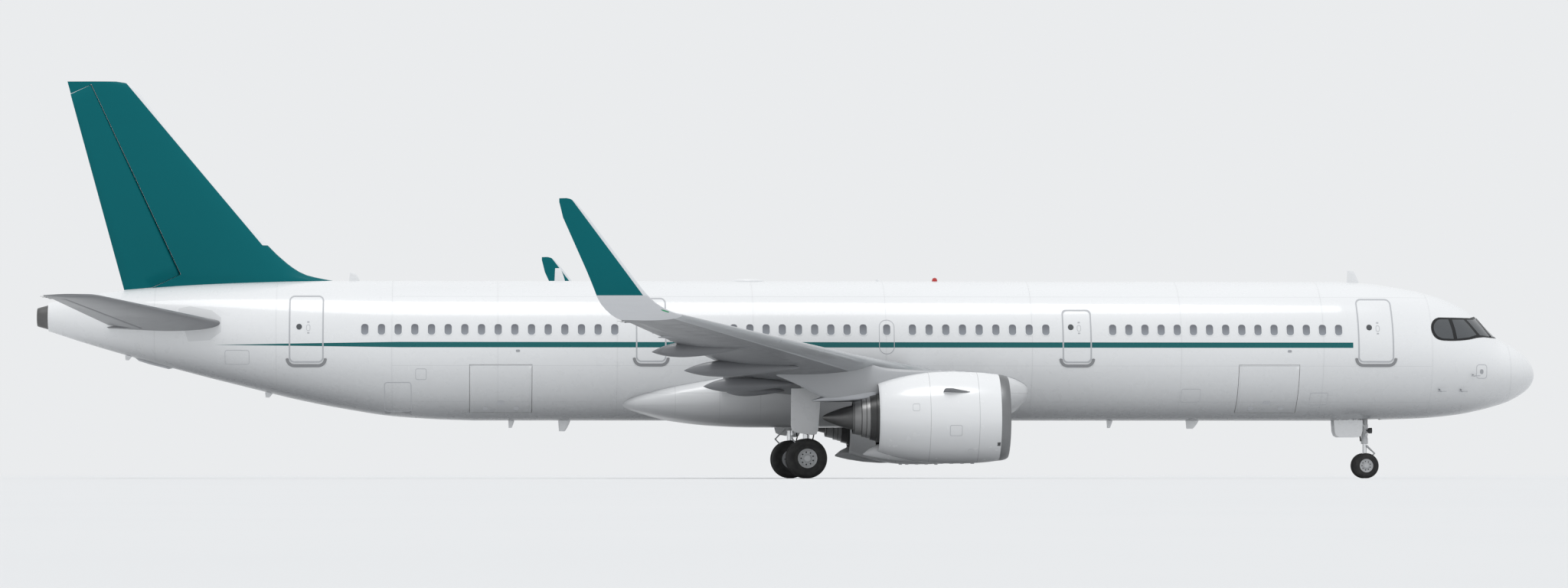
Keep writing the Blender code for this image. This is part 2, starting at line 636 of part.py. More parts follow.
def build_tail(sections):
    """The fin with its rudder, and the two tailplanes with their elevators."""
    seat = add("tail_seat", hull_mesh(33.5, 44.18, GAP), "white_paint", helper=True)
    rings = []
    for z, x0, x1, thick in FIN_STATIONS:
        rings.append(airfoil_ring((x0, 0.0, z), x1 - x0, 0.5 * thick, (1, 0, 0), (0, 1, 0)))
    fin = add("fin", skin(rings), "teal_paint", origin=(FIN_STATIONS[3][1], 0.0, FIN_STATIONS[3][0]))
    combine(fin, seat, solver="MANIFOLD")
    foot, head = Vector((RUDDER_FOOT[0], 0.0, RUDDER_FOOT[1])), Vector((RUDDER_HEAD[0], 0.0, RUDDER_HEAD[1]))
    rudder = trailing_surface(fin, "rudder", foot, head, (0, 1, 0), (1.62, 0.62), (0.135, 0.055), RUNNING_GAP,
                              "teal_paint", solver="MANIFOLD")
    combine(rudder, add("rudder_room", hull_mesh(33.5, 44.18, 1.2 * RUNNING_GAP), "white_paint", helper=True),
            solver="MANIFOLD")
    for side, letter in ((1, "L"), (-1, "R")):
        rings = [tail_ring(row, side) for row in TAILPLANE_STATIONS]
        tailplane = add("tailplane_" + letter, skin(rings), "grey_paint", origin=(40.0, side * 1.2, 4.5))
        combine(tailplane, seat)
        name, y0, share0, y1, share1 = ELEVATOR
        start, half0 = tail_point(y0, share0, side)
        end, half1 = tail_point(y1, share1, side)
        trailing_surface(tailplane, name + "_" + letter, start, end, (0, 0, 1), (0.98, 0.44), (half0, half1),
                         RUNNING_GAP, "grey_paint")


def build_engine(side, letter):
    """One engine: inlet lip, cowl, fan, core with its struts, plug, and the pylon that hangs it from the wing."""
    centre = (0.0, side * ENGINE_Y, ENGINE_Z)
    here = (17.0, side * ENGINE_Y, ENGINE_Z)
    add("inlet_lip_" + letter, lathe_mesh(LIP_PROFILE, centre, "x", ENGINE_SIDES), "bare_metal", origin=here)
    add("nacelle_cowl_" + letter, lathe_mesh(COWL_PROFILE, centre, "x", ENGINE_SIDES), "white_paint", origin=here)
    core = add("engine_core_" + letter, lathe_mesh(CORE_PROFILE, centre, "x", CORE_SIDES), "dark_metal", origin=here)
    strut = add("strut_" + letter, box_mesh(18.0, 19.95, side * ENGINE_Y - STRUT_HALF_WIDTH,
                                            side * ENGINE_Y + STRUT_HALF_WIDTH, ENGINE_Z - 1.3, ENGINE_Z + 1.3),
                "dark_metal", helper=True)
    duct = [(x, max(radius - GAP, 0.0)) for x, radius in DUCT_PROFILE]
    combine(strut, add("duct_" + letter, lathe_mesh(duct, centre, "x", ENGINE_SIDES), "dark_metal", helper=True),
            "INTERSECT")
    combine(core, strut, "UNION")
    add("exhaust_plug_" + letter, lathe_mesh(PLUG_PROFILE, centre, "x", CORE_SIDES), "dark_metal", origin=(20.45, *centre[1:]))

    fan = add("fan_" + letter, lathe_mesh(SPINNER_PROFILE, centre, "x", CORE_SIDES), "dark_metal", origin=here)
    for index in range(FAN_BLADES):
        turn = 2 * math.pi * index / FAN_BLADES
        out = Vector((0.0, math.sin(turn), math.cos(turn)))
        across = Vector((0.0, math.cos(turn), -math.sin(turn)))
        rings = []
        for radius, pitch_deg, chord in ((0.22, 20.0, 0.26), (0.62, 42.0, 0.30), (FAN_RADIUS, 60.0, 0.32)):
            pitch = math.radians(pitch_deg)
            along = Vector((math.cos(pitch), 0.0, 0.0)) + math.sin(pitch) * across
            thick = Vector((-math.sin(pitch), 0.0, 0.0)) + math.cos(pitch) * across
            middle = Vector(centre) + Vector((0.5 * (FAN_FRONT + FAN_REAR), 0.0, 0.0)) + radius * out
            rings.append([middle + 0.5 * chord * u * along + 0.011 * v * thick
                          for u, v in ((-1, 0), (0, 1), (1, 0), (0, -1))])
        combine(fan, add(f"blade_{index}_{letter}", skin(rings), "dark_metal", helper=True), "UNION")

    outline = [(x, z) for x, z in PYLON_OUTLINE]
    y0, y1 = side * ENGINE_Y - PYLON_HALF_WIDTH, side * ENGINE_Y + PYLON_HALF_WIDTH
    pylon = add("pylon_" + letter, plate_mesh(outline, y0, y1), "white_paint", origin=(18.0, side * ENGINE_Y, 3.1))
    shell = [(x, radius + GAP) for x, radius in COWL_PROFILE[:7]]
    shell = [(shell[0][0], 0.0), *shell, (20.0606, 0.985 + GAP), (20.0606, 0.0)]
    combine(pylon, add("pylon_cowl_seat_" + letter, lathe_mesh(shell, centre, "x", ENGINE_SIDES), "white_paint",
                       helper=True))
    core_seat = [(17.0, 0.0), (17.0, 0.8), *[(x, radius + GAP) for x, radius in CORE_PROFILE[4:8]], (20.79, 0.0)]
    combine(pylon, add("pylon_core_seat_" + letter, lathe_mesh(core_seat, centre, "x", CORE_SIDES), "white_paint", helper=True))
    combine(pylon, add("pylon_wing_seat_" + letter, wing_mesh(side, GAP), "white_paint", helper=True))


def tyre_profile(middle, radius, width, rim):
    """A tyre's turned profile about its middle plane, as distance along the axle and radius."""
    half = 0.5 * width
    outer = [(middle + half * share, rim + (radius - rim) * rise) for share, rise in TYRE_CROWN]
    inner = [(middle - half * share, rim + (radius - rim) * rise) for share, rise in reversed(TYRE_CROWN)]
    return outer + inner


def build_wheels(name, x, y, z, wheel_y, tyre, rim_radius, axle_radius):
    """A pair of wheels on one axle: the two rims and the axle as one solid, and a tyre on each rim."""
    radius, width = tyre
    half = 0.5 * width
    face = 0.70 * half
    inner, outer = wheel_y - face, wheel_y + face
    rim = rim_radius - GAP
    hub = 2.2 * axle_radius
    side = [
        (inner, axle_radius), (inner, 0.9 * rim), (inner, rim), (outer, rim), (outer, 0.86 * rim),
        (outer - 0.6 * face, 0.70 * rim), (outer - 0.6 * face, hub), (outer - 0.1 * face, 0.8 * hub),
        (outer - 0.1 * face, 0.0),
    ]
    profile = [(-along, r) for along, r in reversed(side)] + side
    add(name + "_rims", lathe_mesh(profile, (x, y, z), "y", TYRE_SIDES), "bare_metal", origin=(x, y, z))
    for letter, way in (("a", -1), ("b", 1)):
        mesh = lathe_mesh(tyre_profile(way * wheel_y, radius, width, rim_radius), (x, y, z), "y", TYRE_SIDES)
        add(f"{name}_tyre_{letter}", mesh, "tyre_rubber", origin=(x, y, z))


def axle_height(radius):
    """The height of an axle whose wheels stand on one flat facet."""
    return radius * math.cos(math.pi / TYRE_SIDES)


def eye_bore(x, y, z, axle_radius, length):
    """The hole that an axle turns in."""
    radius = (axle_radius + PIN_GAP) / math.cos(math.pi / TYRE_SIDES)
    return lathe_mesh([(-length, 0.0), (-length, radius), (length, radius), (length, 0.0)], (x, y, z), "y", TYRE_SIDES)


def build_nose_gear(sections):
    """The nose gear: a fixed leg in its bay, a steered piston, its wheels, and the two bay doors."""
    x, z = NOSE_GEAR_X, axle_height(NOSE_TYRE_RADIUS)
    x0, x1, half, roof = NOSE_BAY
    combine(sections["nose_fuselage"], add("nose_bay", box_mesh(x0, x1, -half, half, 1.0, roof), "grey_paint",
                                           helper=True))
    leg = add("nose_leg", rod_mesh((x, 0.0, NOSE_LEG_FOOT), (x, 0.0, roof - GAP), NOSE_LEG_RADIUS), "grey_paint",
              origin=(x, 0.0, NOSE_LEG_FOOT))
    drag = rod_mesh((x, 0.0, 1.45), (x + 0.80, 0.0, roof - GAP - 0.03), 0.045, 12)
    combine(leg, add("nose_drag_strut", drag, "grey_paint", helper=True), "UNION")
    socket = rod_mesh((x, 0.0, NOSE_LEG_FOOT - 0.1), (x, 0.0, NOSE_LEG_FOOT + 0.35),
                      (NOSE_PISTON_RADIUS + PIN_GAP) / math.cos(math.pi / ROD_SIDES))
    combine(leg, add("nose_socket", socket, "grey_paint", helper=True))
    piston = add("nose_piston", rod_mesh((x, 0.0, z), (x, 0.0, NOSE_LEG_FOOT + 0.3493), NOSE_PISTON_RADIUS), "bare_metal",
                 origin=(x, 0.0, z))
    eye = rod_mesh((x, -0.10, z), (x, 0.10, z), NOSE_AXLE_RADIUS + 0.035)
    combine(piston, add("nose_eye", eye, "bare_metal", helper=True), "UNION")
    bore = add("nose_bore", eye_bore(x, 0.0, z, NOSE_AXLE_RADIUS, 0.3), "bare_metal", helper=True)
    combine(piston, bore)
    build_wheels("nose_wheel", x, 0.0, z, NOSE_WHEEL_Y, (NOSE_TYRE_RADIUS, NOSE_TYRE_WIDTH), NOSE_RIM_RADIUS,
                 NOSE_AXLE_RADIUS)
    for side, letter in ((1, "L"), (-1, "R")):
        outline = [(x0 + 0.55, 1.735), (x1 - 0.02, 1.735), (x1 - 0.10, 1.22), (x0 + 0.62, 1.22)]
        y0, y1 = side * (half - 0.03), side * (half - 0.005)
        door = add("nose_gear_door_" + letter, plate_mesh(outline, y0, y1), "white_paint", origin=(x1, y0, 1.73))
        lug = box_mesh(x0 + 0.9, x0 + 1.0, side * (half - 0.03), side * (half - GAP), 1.70, 1.95)
        combine(door, add("nose_door_lug_" + letter, lug, "white_paint", helper=True), "UNION")


def build_main_gear(side, letter):
    """One main gear: a leg under the wing with its side stay and fairing door, and its pair of wheels."""
    x, y, z = MAIN_GEAR_X, side * MAIN_GEAR_Y, axle_height(MAIN_TYRE_RADIUS)
    leg = add("main_leg_" + letter, rod_mesh((x, y, MAIN_LEG_FOOT), (x, y, 3.2), MAIN_LEG_RADIUS), "grey_paint",
              origin=(x, y, MAIN_LEG_FOOT))
    pieces = (
        ("piston", rod_mesh((x, y, z), (x, y, MAIN_LEG_FOOT + 0.2), MAIN_PISTON_RADIUS)),
        ("eye", rod_mesh((x, y - 0.16, z), (x, y + 0.16, z), MAIN_AXLE_RADIUS + 0.05)),
        ("stay", rod_mesh((x, y, 1.62), (x - 0.25, y - side * 1.30, 3.05), 0.06, 12)),
        ("link", box_mesh(x + 0.06, x + 0.30, y - 0.05, y + 0.05, 0.98, 1.52)),
    )
    for part, mesh in pieces:
        combine(leg, add(f"main_{part}_{letter}", mesh, "grey_paint", helper=True), "UNION")
    combine(leg, add("main_bore_" + letter, eye_bore(x, y, z, MAIN_AXLE_RADIUS, 0.4), "grey_paint", helper=True))
    combine(leg, add("main_leg_wing_seat_" + letter, wing_mesh(side, GAP), "grey_paint", helper=True))
    build_wheels("main_wheel_" + letter, x, y, z, MAIN_WHEEL_Y, (MAIN_TYRE_RADIUS, MAIN_TYRE_WIDTH), MAIN_RIM_RADIUS,
                 MAIN_AXLE_RADIUS)
    outline = [(x - 0.42, 2.52), (x + 0.45, 2.52), (x + 0.45, 1.35), (x - 0.30, 1.25)]
    inner, outer = y + side * 0.26, y + side * 0.30
    door = add("main_leg_door_" + letter, plate_mesh(outline, inner, outer), "white_paint", origin=(x, inner, 2.0))
    for index, height in enumerate((1.60, 2.25)):
        bracket = rod_mesh((x, y + side * (MAIN_LEG_RADIUS + GAP), height), (x, inner + side * 0.02, height), 0.04, 10)
        combine(door, add(f"main_bracket_{index}_{letter}", bracket, "white_paint", helper=True), "UNION")


def main():
    """Builds the whole aircraft."""
    for found in list(bpy.data.objects):
        bpy.data.objects.remove(found)
    sections = build_fuselage()
    build_glazing(sections)
    build_cargo_doors(sections)
    build_fairing()
    for side, letter in ((1, "L"), (-1, "R")):
        build_wing(side, letter)
        build_engine(side, letter)
        build_main_gear(side, letter)
    build_tail(sections)
    build_nose_gear(sections)


main()
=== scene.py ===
"""The looks of a half-size, single-aisle airliner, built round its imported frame.

Sizes are the full-size aircraft's, in metres: x aft of the nose tip, y to port, z up from the ground.
at() turns such a station point into the model's own place.
"""

import logging
import math
from dataclasses import dataclass
from enum import Enum
from functools import reduce
from math import cos, pi, radians, sin, tau
from operator import add

import bmesh
import bpy
from mathutils import Matrix, Vector

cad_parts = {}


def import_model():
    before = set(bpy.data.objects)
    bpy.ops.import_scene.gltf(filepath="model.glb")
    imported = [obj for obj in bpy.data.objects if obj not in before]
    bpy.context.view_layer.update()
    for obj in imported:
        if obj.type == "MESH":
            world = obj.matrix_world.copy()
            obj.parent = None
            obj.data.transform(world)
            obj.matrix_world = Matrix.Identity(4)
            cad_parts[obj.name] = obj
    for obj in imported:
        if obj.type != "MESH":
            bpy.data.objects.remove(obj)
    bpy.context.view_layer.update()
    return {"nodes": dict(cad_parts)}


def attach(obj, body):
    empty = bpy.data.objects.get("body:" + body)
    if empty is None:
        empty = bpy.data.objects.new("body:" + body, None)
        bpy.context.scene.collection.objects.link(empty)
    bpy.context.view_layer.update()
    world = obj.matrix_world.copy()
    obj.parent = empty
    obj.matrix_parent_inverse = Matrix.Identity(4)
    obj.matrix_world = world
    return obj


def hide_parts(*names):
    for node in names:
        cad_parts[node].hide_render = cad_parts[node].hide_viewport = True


LOG = logging.getLogger("airliner")
SCALE = 0.5
LENGTH = 44.51
SCORCH = (0.45, 0.44, 0.425)  # what heat leaves of a metal's red, green and blue
DUST = (0.07, 0.068, 0.064)
GAP, RUNNING_GAP = 0.0006, 0.012  # between fixed pieces, and round the ones that move
SUNK = -0.01  # how deep a plate's foot is set into the skin
MIX_LOW, MIX_HIGH, MIX_RESULT = 6, 7, 2  # a Mix node's sockets for colours
Piece, Socket, Tree = bpy.types.Object, bpy.types.NodeSocket, bpy.types.NodeTree
Point = tuple[float, float, float]
Colour = tuple[float, float, float]
Row = tuple[float, ...]
AFT, PORT, UP = Vector((1, 0, 0)), Vector((0, 1, 0)), Vector((0, 0, 1))  # the ways of x, y and z
CABIN_MIDDLE, CABIN_HALF_WIDTH, CABIN_RISE = 3.784, 1.975, 2.071  # widest height, half width, crown above it


def model_x(x: float) -> float:
    """The frame's X of a station."""
    return (0.5 * LENGTH - x) * SCALE


def at(x: float, y: float, z: float) -> Vector:
    """The model's own place of a station point.

    Args:
        x: Metres aft of the nose tip.
        y: Metres to port.
        z: Metres above the ground.

    Returns:
        The point in the frame's metres.
    """
    return Vector((model_x(x), y * SCALE, z * SCALE))


class Side(Enum):
    """A side of the aircraft, with its letter and the sign of y."""

    PORT = ("L", 1)
    STARBOARD = ("R", -1)

    @property
    def letter(self) -> str:
        """The letter that ends its nodes' names."""
        return self.value[0]

    @property
    def sign(self) -> int:
        """The sign of y on this side."""
        return self.value[1]


def cubic(u: float) -> tuple[float, float, float, float]:
    """A cubic's shares of its two ends and of their slopes, u of the way along."""
    return (1 + 2 * u) * (1 - u) ** 2, u * u * (3 - 2 * u), u * (1 - u) ** 2, u * u * (u - 1)


def linear(rows: tuple[Row, ...], place: float) -> list[float]:
    """The values at a place between a table's rows, in straight lines."""
    for low, high in zip(rows, rows[1:]):
        if place <= high[0]:
            share = (place - low[0]) / (high[0] - low[0])
            return [a + share * (b - a) for a, b in zip(low[1:], high[1:])]
    return list(rows[-1][1:])


class Smooth:
    """A smooth curve through a table's rows that never overshoots them."""

    def __init__(self, rows: tuple[Row, ...], bend: float = 1.0) -> None:
        """Works out the slopes.

        Args:
            rows: Rows of a place and its values, in order of place.
            bend: A power that the place is raised to first, below 1 for a blunt start.
        """
        self.bend = bend
        self.places = [max(row[0], 0.0) ** bend for row in rows]
        self.values = [row[1:] for row in rows]
        self.slopes = [[self._slope(i, c) for c in range(len(rows[0]) - 1)] for i in range(len(rows))]

    def _slope(self, i: int, column: int) -> float:
        """The slope at a row, flat where the values turn."""
        last = len(self.places) - 1
        steps = []
        for low in (max(i - 1, 0), min(i, last - 1)):
            rise = self.values[low + 1][column] - self.values[low][column]
            steps.append(rise / (self.places[low + 1] - self.places[low]))
        if steps[0] * steps[1] <= 0.0:
            return 0.0
        return 2.0 * steps[0] * steps[1] / (steps[0] + steps[1])

    def __call__(self, place: float) -> list[float]:
        """The values at a place."""
        t = max(place, 0.0) ** self.bend
        t = min(max(t, self.places[0]), self.places[-1])
        i = 0
        while i < len(self.places) - 2 and t > self.places[i + 1]:
            i += 1
        span = self.places[i + 1] - self.places[i]
        u = (t - self.places[i]) / span
        h0, h1, g0, g1 = cubic(u)
        pairs = zip(self.values[i], self.values[i + 1], self.slopes[i], self.slopes[i + 1])
        return [h0 * a + h1 * b + g0 * span * p + g1 * span * q for a, b, p, q in pairs]


class Maths:
    """A shader socket that takes part in Python arithmetic, adding its Math nodes."""

    def __init__(self, tree: Tree, out: Socket) -> None:
        """Keeps the tree and the socket."""
        self.tree = tree
        self.out = out

    def run(self, operation: str, *others: "Maths | float", swap: bool = False, clamp: bool = False) -> "Maths":
        """One Math node on this value and others.

        Args:
            operation: Blender's name of the operation.
            others: The other values.
            swap: Whether this value comes second.
            clamp: Whether the result is held between 0 and 1.

        Returns:
            The node's result.
        """
        made = self.tree.nodes.new("ShaderNodeMath")
        made.operation = operation
        made.use_clamp = clamp
        values = [self, *others]
        if swap:
            values.reverse()
        for socket, value in zip(made.inputs, values):
            connect(self.tree, socket, value)
        return Maths(self.tree, made.outputs[0])

    def clamped(self) -> "Maths":
        """The value held between 0 and 1."""
        return self.run("ADD", 0.0, clamp=True)

    def __add__(self, other: "Maths | float") -> "Maths":
        """Sum."""
        return self.run("ADD", other)

    __radd__ = __add__

    def __mul__(self, other: "Maths | float") -> "Maths":
        """Product."""
        return self.run("MULTIPLY", other)

    __rmul__ = __mul__

    def __sub__(self, other: "Maths | float") -> "Maths":
        """Difference."""
        return self.run("SUBTRACT", other)

    def __rsub__(self, other: float) -> "Maths":
        """Reflected difference."""
        return self.run("SUBTRACT", other, swap=True)

    def above(self, edge: float, soft: float) -> "Maths":
        """A mask that rises from 0 to 1 across an edge.

        Args:
            edge: The value at the middle of the rise.
            soft: The width of the rise.

        Returns:
            The mask.
        """
        return ((self - (edge - 0.5 * soft)) * (1.0 / soft)).clamped()

    def between(self, low: float, high: float, soft: float) -> "Maths":
        """A mask that is 1 between two values."""
        return self.above(low, soft) * (1.0 - self.above(high, soft))

    def line(self, centre: float, width: float, soft: float) -> "Maths":
        """A mask that is 1 on a thin line at a value."""
        return self.between(centre - 0.5 * width, centre + 0.5 * width, soft)


def connect(tree: Tree, socket: Socket, value: object) -> None:
    """Links or sets one input."""
    value = value.out if isinstance(value, Maths) else value
    if isinstance(value, Socket):
        tree.links.new(value, socket)
    else:
        socket.default_value = value


def add_node(tree: Tree, kind: str, sockets: dict | None = None, **settings: object) -> bpy.types.Node:
    """Adds a node to a tree.

    Args:
        tree: The tree.
        kind: Blender's name of the node type.
        sockets: Its inputs' values or links.
        settings: Its properties, set first.

    Returns:
        The node.
    """
    made = tree.nodes.new(kind)
    for key, value in settings.items():
        setattr(made, key, value)
    for key, value in (sockets or {}).items():
        connect(tree, made.inputs[key], value)
    return made


def opaque(value: object) -> object:
    """A colour with its alpha, or a socket as it is."""
    return (*value, 1.0) if isinstance(value, tuple) else value


class Paintbox:
    """One material's node tree, with short ways to add to it."""

    def __init__(self, name: str) -> None:
        """Starts a material with a Principled shader."""
        self.material = bpy.data.materials.new(name)
        self.material.use_nodes = True
        self.tree = self.material.node_tree
        self.shader = self.tree.nodes["Principled BSDF"]
        self.place = add_node(self.tree, "ShaderNodeTexCoord").outputs["Object"]
        parts = add_node(self.tree, "ShaderNodeSeparateXYZ", {"Vector": self.place}).outputs
        self.x, self.y, self.z = (Maths(self.tree, parts[i]) for i in range(3))

    def noise(self, scale: float, detail: float = 2.0, stretch: Point = (1.0, 1.0, 1.0)) -> Maths:
        """Soft noise on the object's own coordinates."""
        mapped = add_node(self.tree, "ShaderNodeMapping", {"Vector": self.place, "Scale": stretch}).outputs[0]
        made = add_node(self.tree, "ShaderNodeTexNoise", {"Vector": mapped, "Scale": scale, "Detail": detail})
        return Maths(self.tree, made.outputs["Fac"])

    def mix(self, mask: Maths, low: object, high: object) -> Socket:
        """A colour that goes from low to high with a mask."""
        made = add_node(self.tree, "ShaderNodeMix", {"Factor": mask}, data_type="RGBA")
        connect(self.tree, made.inputs[MIX_LOW], opaque(low))
        connect(self.tree, made.inputs[MIX_HIGH], opaque(high))
        return made.outputs[MIX_RESULT]

    def feed(self, **values: object) -> None:
        """Sets or links inputs of the Principled shader, named with _ for each space."""
        for key, value in values.items():
            connect(self.tree, self.shader.inputs[key.replace("_", " ")], opaque(value))

    def bump(self, height: Maths, strength: float, distance: float = 0.001) -> None:
        """Feeds a height into the Normal input."""
        made = add_node(self.tree, "ShaderNodeBump", {"Height": height, "Strength": strength, "Distance": distance})
        self.feed(Normal=made.outputs[0])


@dataclass(frozen=True)
class Finish:
    """The base of every finish: a material and the record's slot that it takes."""

    name: str
    colour: Colour
    slot: str
    roughness: float = 0.28

    def make(self) -> bpy.types.Material:
        """The material, made once."""
        found = bpy.data.materials.get(self.name)
        if found:
            return found
        box = Paintbox(self.name)
        self.fill(box)
        return box.material

    def fill(self, box: Paintbox) -> None:
        """Feeds the material's shader."""
        raise NotImplementedError


@dataclass(frozen=True)
class Paint(Finish):
    """A sprayed paint with slight fading, thin grime and, where peel is above 0, a cast or rough face."""

    metallic: float = 0.0
    coat: float = 0.35
    shine: float = 0.5
    grime: float = 0.05
    scale: float = 6.0
    peel: float = 0.0

    def fill(self, box: Paintbox) -> None:
        """Colour, worn gloss, clear coat and peel."""
        box.feed(Base_Color=self.colouring(box))
        box.feed(Roughness=box.noise(self.scale, 4.0) * 0.08 + (self.roughness - 0.04), Metallic=self.metallic)
        box.feed(Coat_Weight=self.coating(box), Specular_IOR_Level=self.shine)
        if self.peel:
            box.bump(box.noise(90.0, 2.0), self.peel)

    def coating(self, box: Paintbox) -> Maths | float:
        """The clear coat's weight."""
        return self.coat

    def colouring(self, box: Paintbox) -> Socket:
        """The base colour, with faint long streaks of grime."""
        streaks = box.noise(0.9, 5.0, (0.25, 1.0, 3.0)).above(0.62, 0.5)
        dark = tuple(c * 0.72 for c in self.colour)
        return box.mix(streaks * self.grime * 4.0, self.colour, dark)


@dataclass(frozen=True)
class HullPaint(Paint):
    """The fuselage's paint: white over a grey belly that darkens towards the keel as painted shade, with the teal
    line along the cabin and fine skin joints.
    """

    line_colour: Colour = (0.0, 0.112, 0.118)
    # The grey that the painted shade reaches at the keel.
    belly_colour: Colour = (0.225, 0.232, 0.243)
    shade: float = 2.8
    keel: float = 1.713
    tail: float = 33.6
    line_low: float = 3.835
    line_high: float = 3.994
    line_front: float = 5.73
    line_rear: float = 39.2
    line_full: float = 33.8
    joints: tuple[float, ...] = (0.87, 3.35, 6.6, 10.8, 15.2, 19.5, 23.4, 27.4, 30.9, 34.0, 37.4, 41.0)
    laps: tuple[float, ...] = (5.35, 3.3, 2.25)

    def colouring(self, box: Paintbox) -> Socket:
        """White, a grey belly darkened towards the keel as painted shade, teal line and joints."""
        base = super().colouring(box)
        # Painted shade: the belly paint darkens towards the keel, its edge rising along the tail cone.
        aft = (model_x(self.tail) - box.x).run("MAXIMUM", 0.0)
        share = (box.z - self.keel * SCALE - aft * 0.225).run("DIVIDE", 4.14 * SCALE - aft * 0.3)
        belly = (1.0 - share * (1.0 / 0.59)).clamped().run("POWER", self.shade)
        base = box.mix(belly, base, self.belly_colour)
        seams = reduce(add, (box.x.line(model_x(x), 0.006, 0.003) for x in self.joints))
        for z in self.laps:
            seams = seams + box.z.line(z * SCALE, 0.005, 0.003) * box.x.between(model_x(34.0), model_x(3.35), 0.01)
        base = box.mix(seams * 0.22, base, (0.22, 0.23, 0.24))
        rows = reduce(add, ((box.x - model_x(x)).run("ABSOLUTE").line(0.014, 0.005, 0.002) for x in self.joints))
        dots = rows * box.z.run("PINGPONG", 0.0125).above(0.0095, 0.002)
        base = box.mix(dots * 0.3, base, (0.3, 0.31, 0.32))
        return box.mix(self.stripe(box), base, self.line_colour)

    def stripe(self, box: Paintbox) -> Maths:
        """The mask of the line, which tapers to a point at its rear."""
        low, high = self.line_low * SCALE, self.line_high * SCALE
        start, end, full = model_x(self.line_front), model_x(self.line_rear), model_x(self.line_full)
        taper = ((box.x - end) * (1.0 / (full - end))).clamped()
        middle = 0.5 * (low + high)
        half = taper * (0.5 * (high - low))
        inside = (half - (box.z - middle).run("ABSOLUTE")).above(0.0, 0.0015)
        return inside * box.x.between(end, start, 0.004)

    def coating(self, box: Paintbox) -> Maths:
        """Clear coat everywhere but on the line, which is matt."""
        return (1.0 - self.stripe(box)) * self.coat


@dataclass(frozen=True)
class FinPaint(Paint):
    """Teal with a bare strip along a swept leading edge.

    The strip is on the nose side of the line from foot to head, both as x and z stations.
    """

    foot: tuple[float, float] = (37.74, 6.93)
    head: tuple[float, float] = (41.5, 11.4)
    strip: float = 0.15
    foot_height: float = 6.9
    edge_colour: Colour = (0.78, 0.79, 0.8)

    def colouring(self, box: Paintbox) -> Socket:
        """Teal, with the strip ahead of the line."""
        base = super().colouring(box)
        slope = (self.head[0] - self.foot[0]) / (self.head[1] - self.foot[1])
        line = box.x + (box.z - self.foot[1] * SCALE) * slope
        ahead = line.above(model_x(self.foot[0] + self.strip), 0.004)
        tall = box.z.above(self.foot_height * SCALE, 0.01)
        return box.mix(ahead * tall, base, self.edge_colour)


@dataclass(frozen=True)
class WingPaint(Paint):
    """Grey wing paint with rows of skin joints across the span and, with a slope, a paler leading edge."""

    bays: float = 0.62
    edge_x: float = 17.85
    edge_slope: float = 0.0
    edge_colour: Colour = (0.4, 0.415, 0.43)

    def colouring(self, box: Paintbox) -> Socket:
        """Grey with thin darker joints parallel to the ribs."""
        base = super().colouring(box)
        ribs = box.y.run("ABSOLUTE").run("PINGPONG", self.bays).above(self.bays - 0.006, 0.004)
        base = box.mix(ribs * 0.3, base, tuple(c * 0.55 for c in self.colour))
        if not self.edge_slope:
            return base
        ahead = (box.x + box.y.run("ABSOLUTE") * self.edge_slope).above(model_x(self.edge_x), 0.003)
        return box.mix(ahead, base, self.edge_colour)


@dataclass(frozen=True)
class Metal(Finish):
    """A bare metal with fine brushing, heat-darkened when heat is above 0.

    bands holds start and end stations and the share of the colour between them: wide bands of painted shade and thin
    joint rings.
    """

    heat: float = 0.0
    bands: tuple[tuple[float, float, float], ...] = ()

    def fill(self, box: Paintbox) -> None:
        """Scorched metal, darker in its bands of painted shade and joint rings, under a fine brushing."""
        cloud = box.noise(5.0, 5.0)
        scorched = tuple(c * share for c, share in zip(self.colour, SCORCH))
        base = box.mix(cloud.above(0.5, 0.5) * (0.15 + self.heat), self.colour, scorched)
        for start, end, share in self.bands:
            band = box.x.between(model_x(end), model_x(start), 0.002)
            base = box.mix(band, base, tuple(c * share for c in self.colour))
        box.feed(Base_Color=base, Metallic=1.0)
        brush = box.noise(60.0, 2.0, (1.0, 6.0, 6.0))
        box.feed(Roughness=brush * 0.12 + cloud * 0.1 + (self.roughness - 0.1))
        box.bump(brush, 0.03)


@dataclass(frozen=True)
class Glass(Finish):
    """Dark, glossy glazing over an unlit cabin."""

    roughness: float = 0.06
    coat: float = 0.6

    def fill(self, box: Paintbox) -> None:
        """Tint, gloss and coat."""
        box.feed(Base_Color=self.colouring(box))
        box.feed(Roughness=box.noise(3.0, 3.0) * 0.06 + self.roughness, Coat_Weight=self.coat)

    def colouring(self, box: Paintbox) -> Socket:
        """The tint with a faint haze."""
        haze = box.noise(3.0, 3.0).above(0.5, 0.8)
        return box.mix(haze, self.colour, tuple(c * 1.5 for c in self.colour))


@dataclass(frozen=True)
class WindowGlass(Glass):
    """Cabin glazing with painted shade: darker at its head, lighter towards its foot."""

    foot: float = 4.21
    head: float = 4.5
    # The foot's colour, lighter than the painted shade at the head.
    pale: Colour = (0.27, 0.29, 0.32)

    def colouring(self, box: Paintbox) -> Socket:
        """Painted shade: dark at the head and paler at the foot."""
        rise = (self.head - self.foot) * SCALE
        low = 1.0 - box.z.above(0.5 * (self.head + self.foot) * SCALE, rise)
        return box.mix(low, super().colouring(box), self.pale)


@dataclass(frozen=True)
class Rubber(Finish):
    """Tyre rubber with a dusty bloom."""

    slot: str = "tyre"

    def fill(self, box: Paintbox) -> None:
        """Dust and a fine grain."""
        dust = box.noise(14.0, 5.0)
        box.feed(Base_Color=box.mix(dust.above(0.55, 0.4) * 0.5, self.colour, DUST), Roughness=dust * 0.2 + 0.68)
        box.bump(box.noise(240.0, 2.0), 0.15)


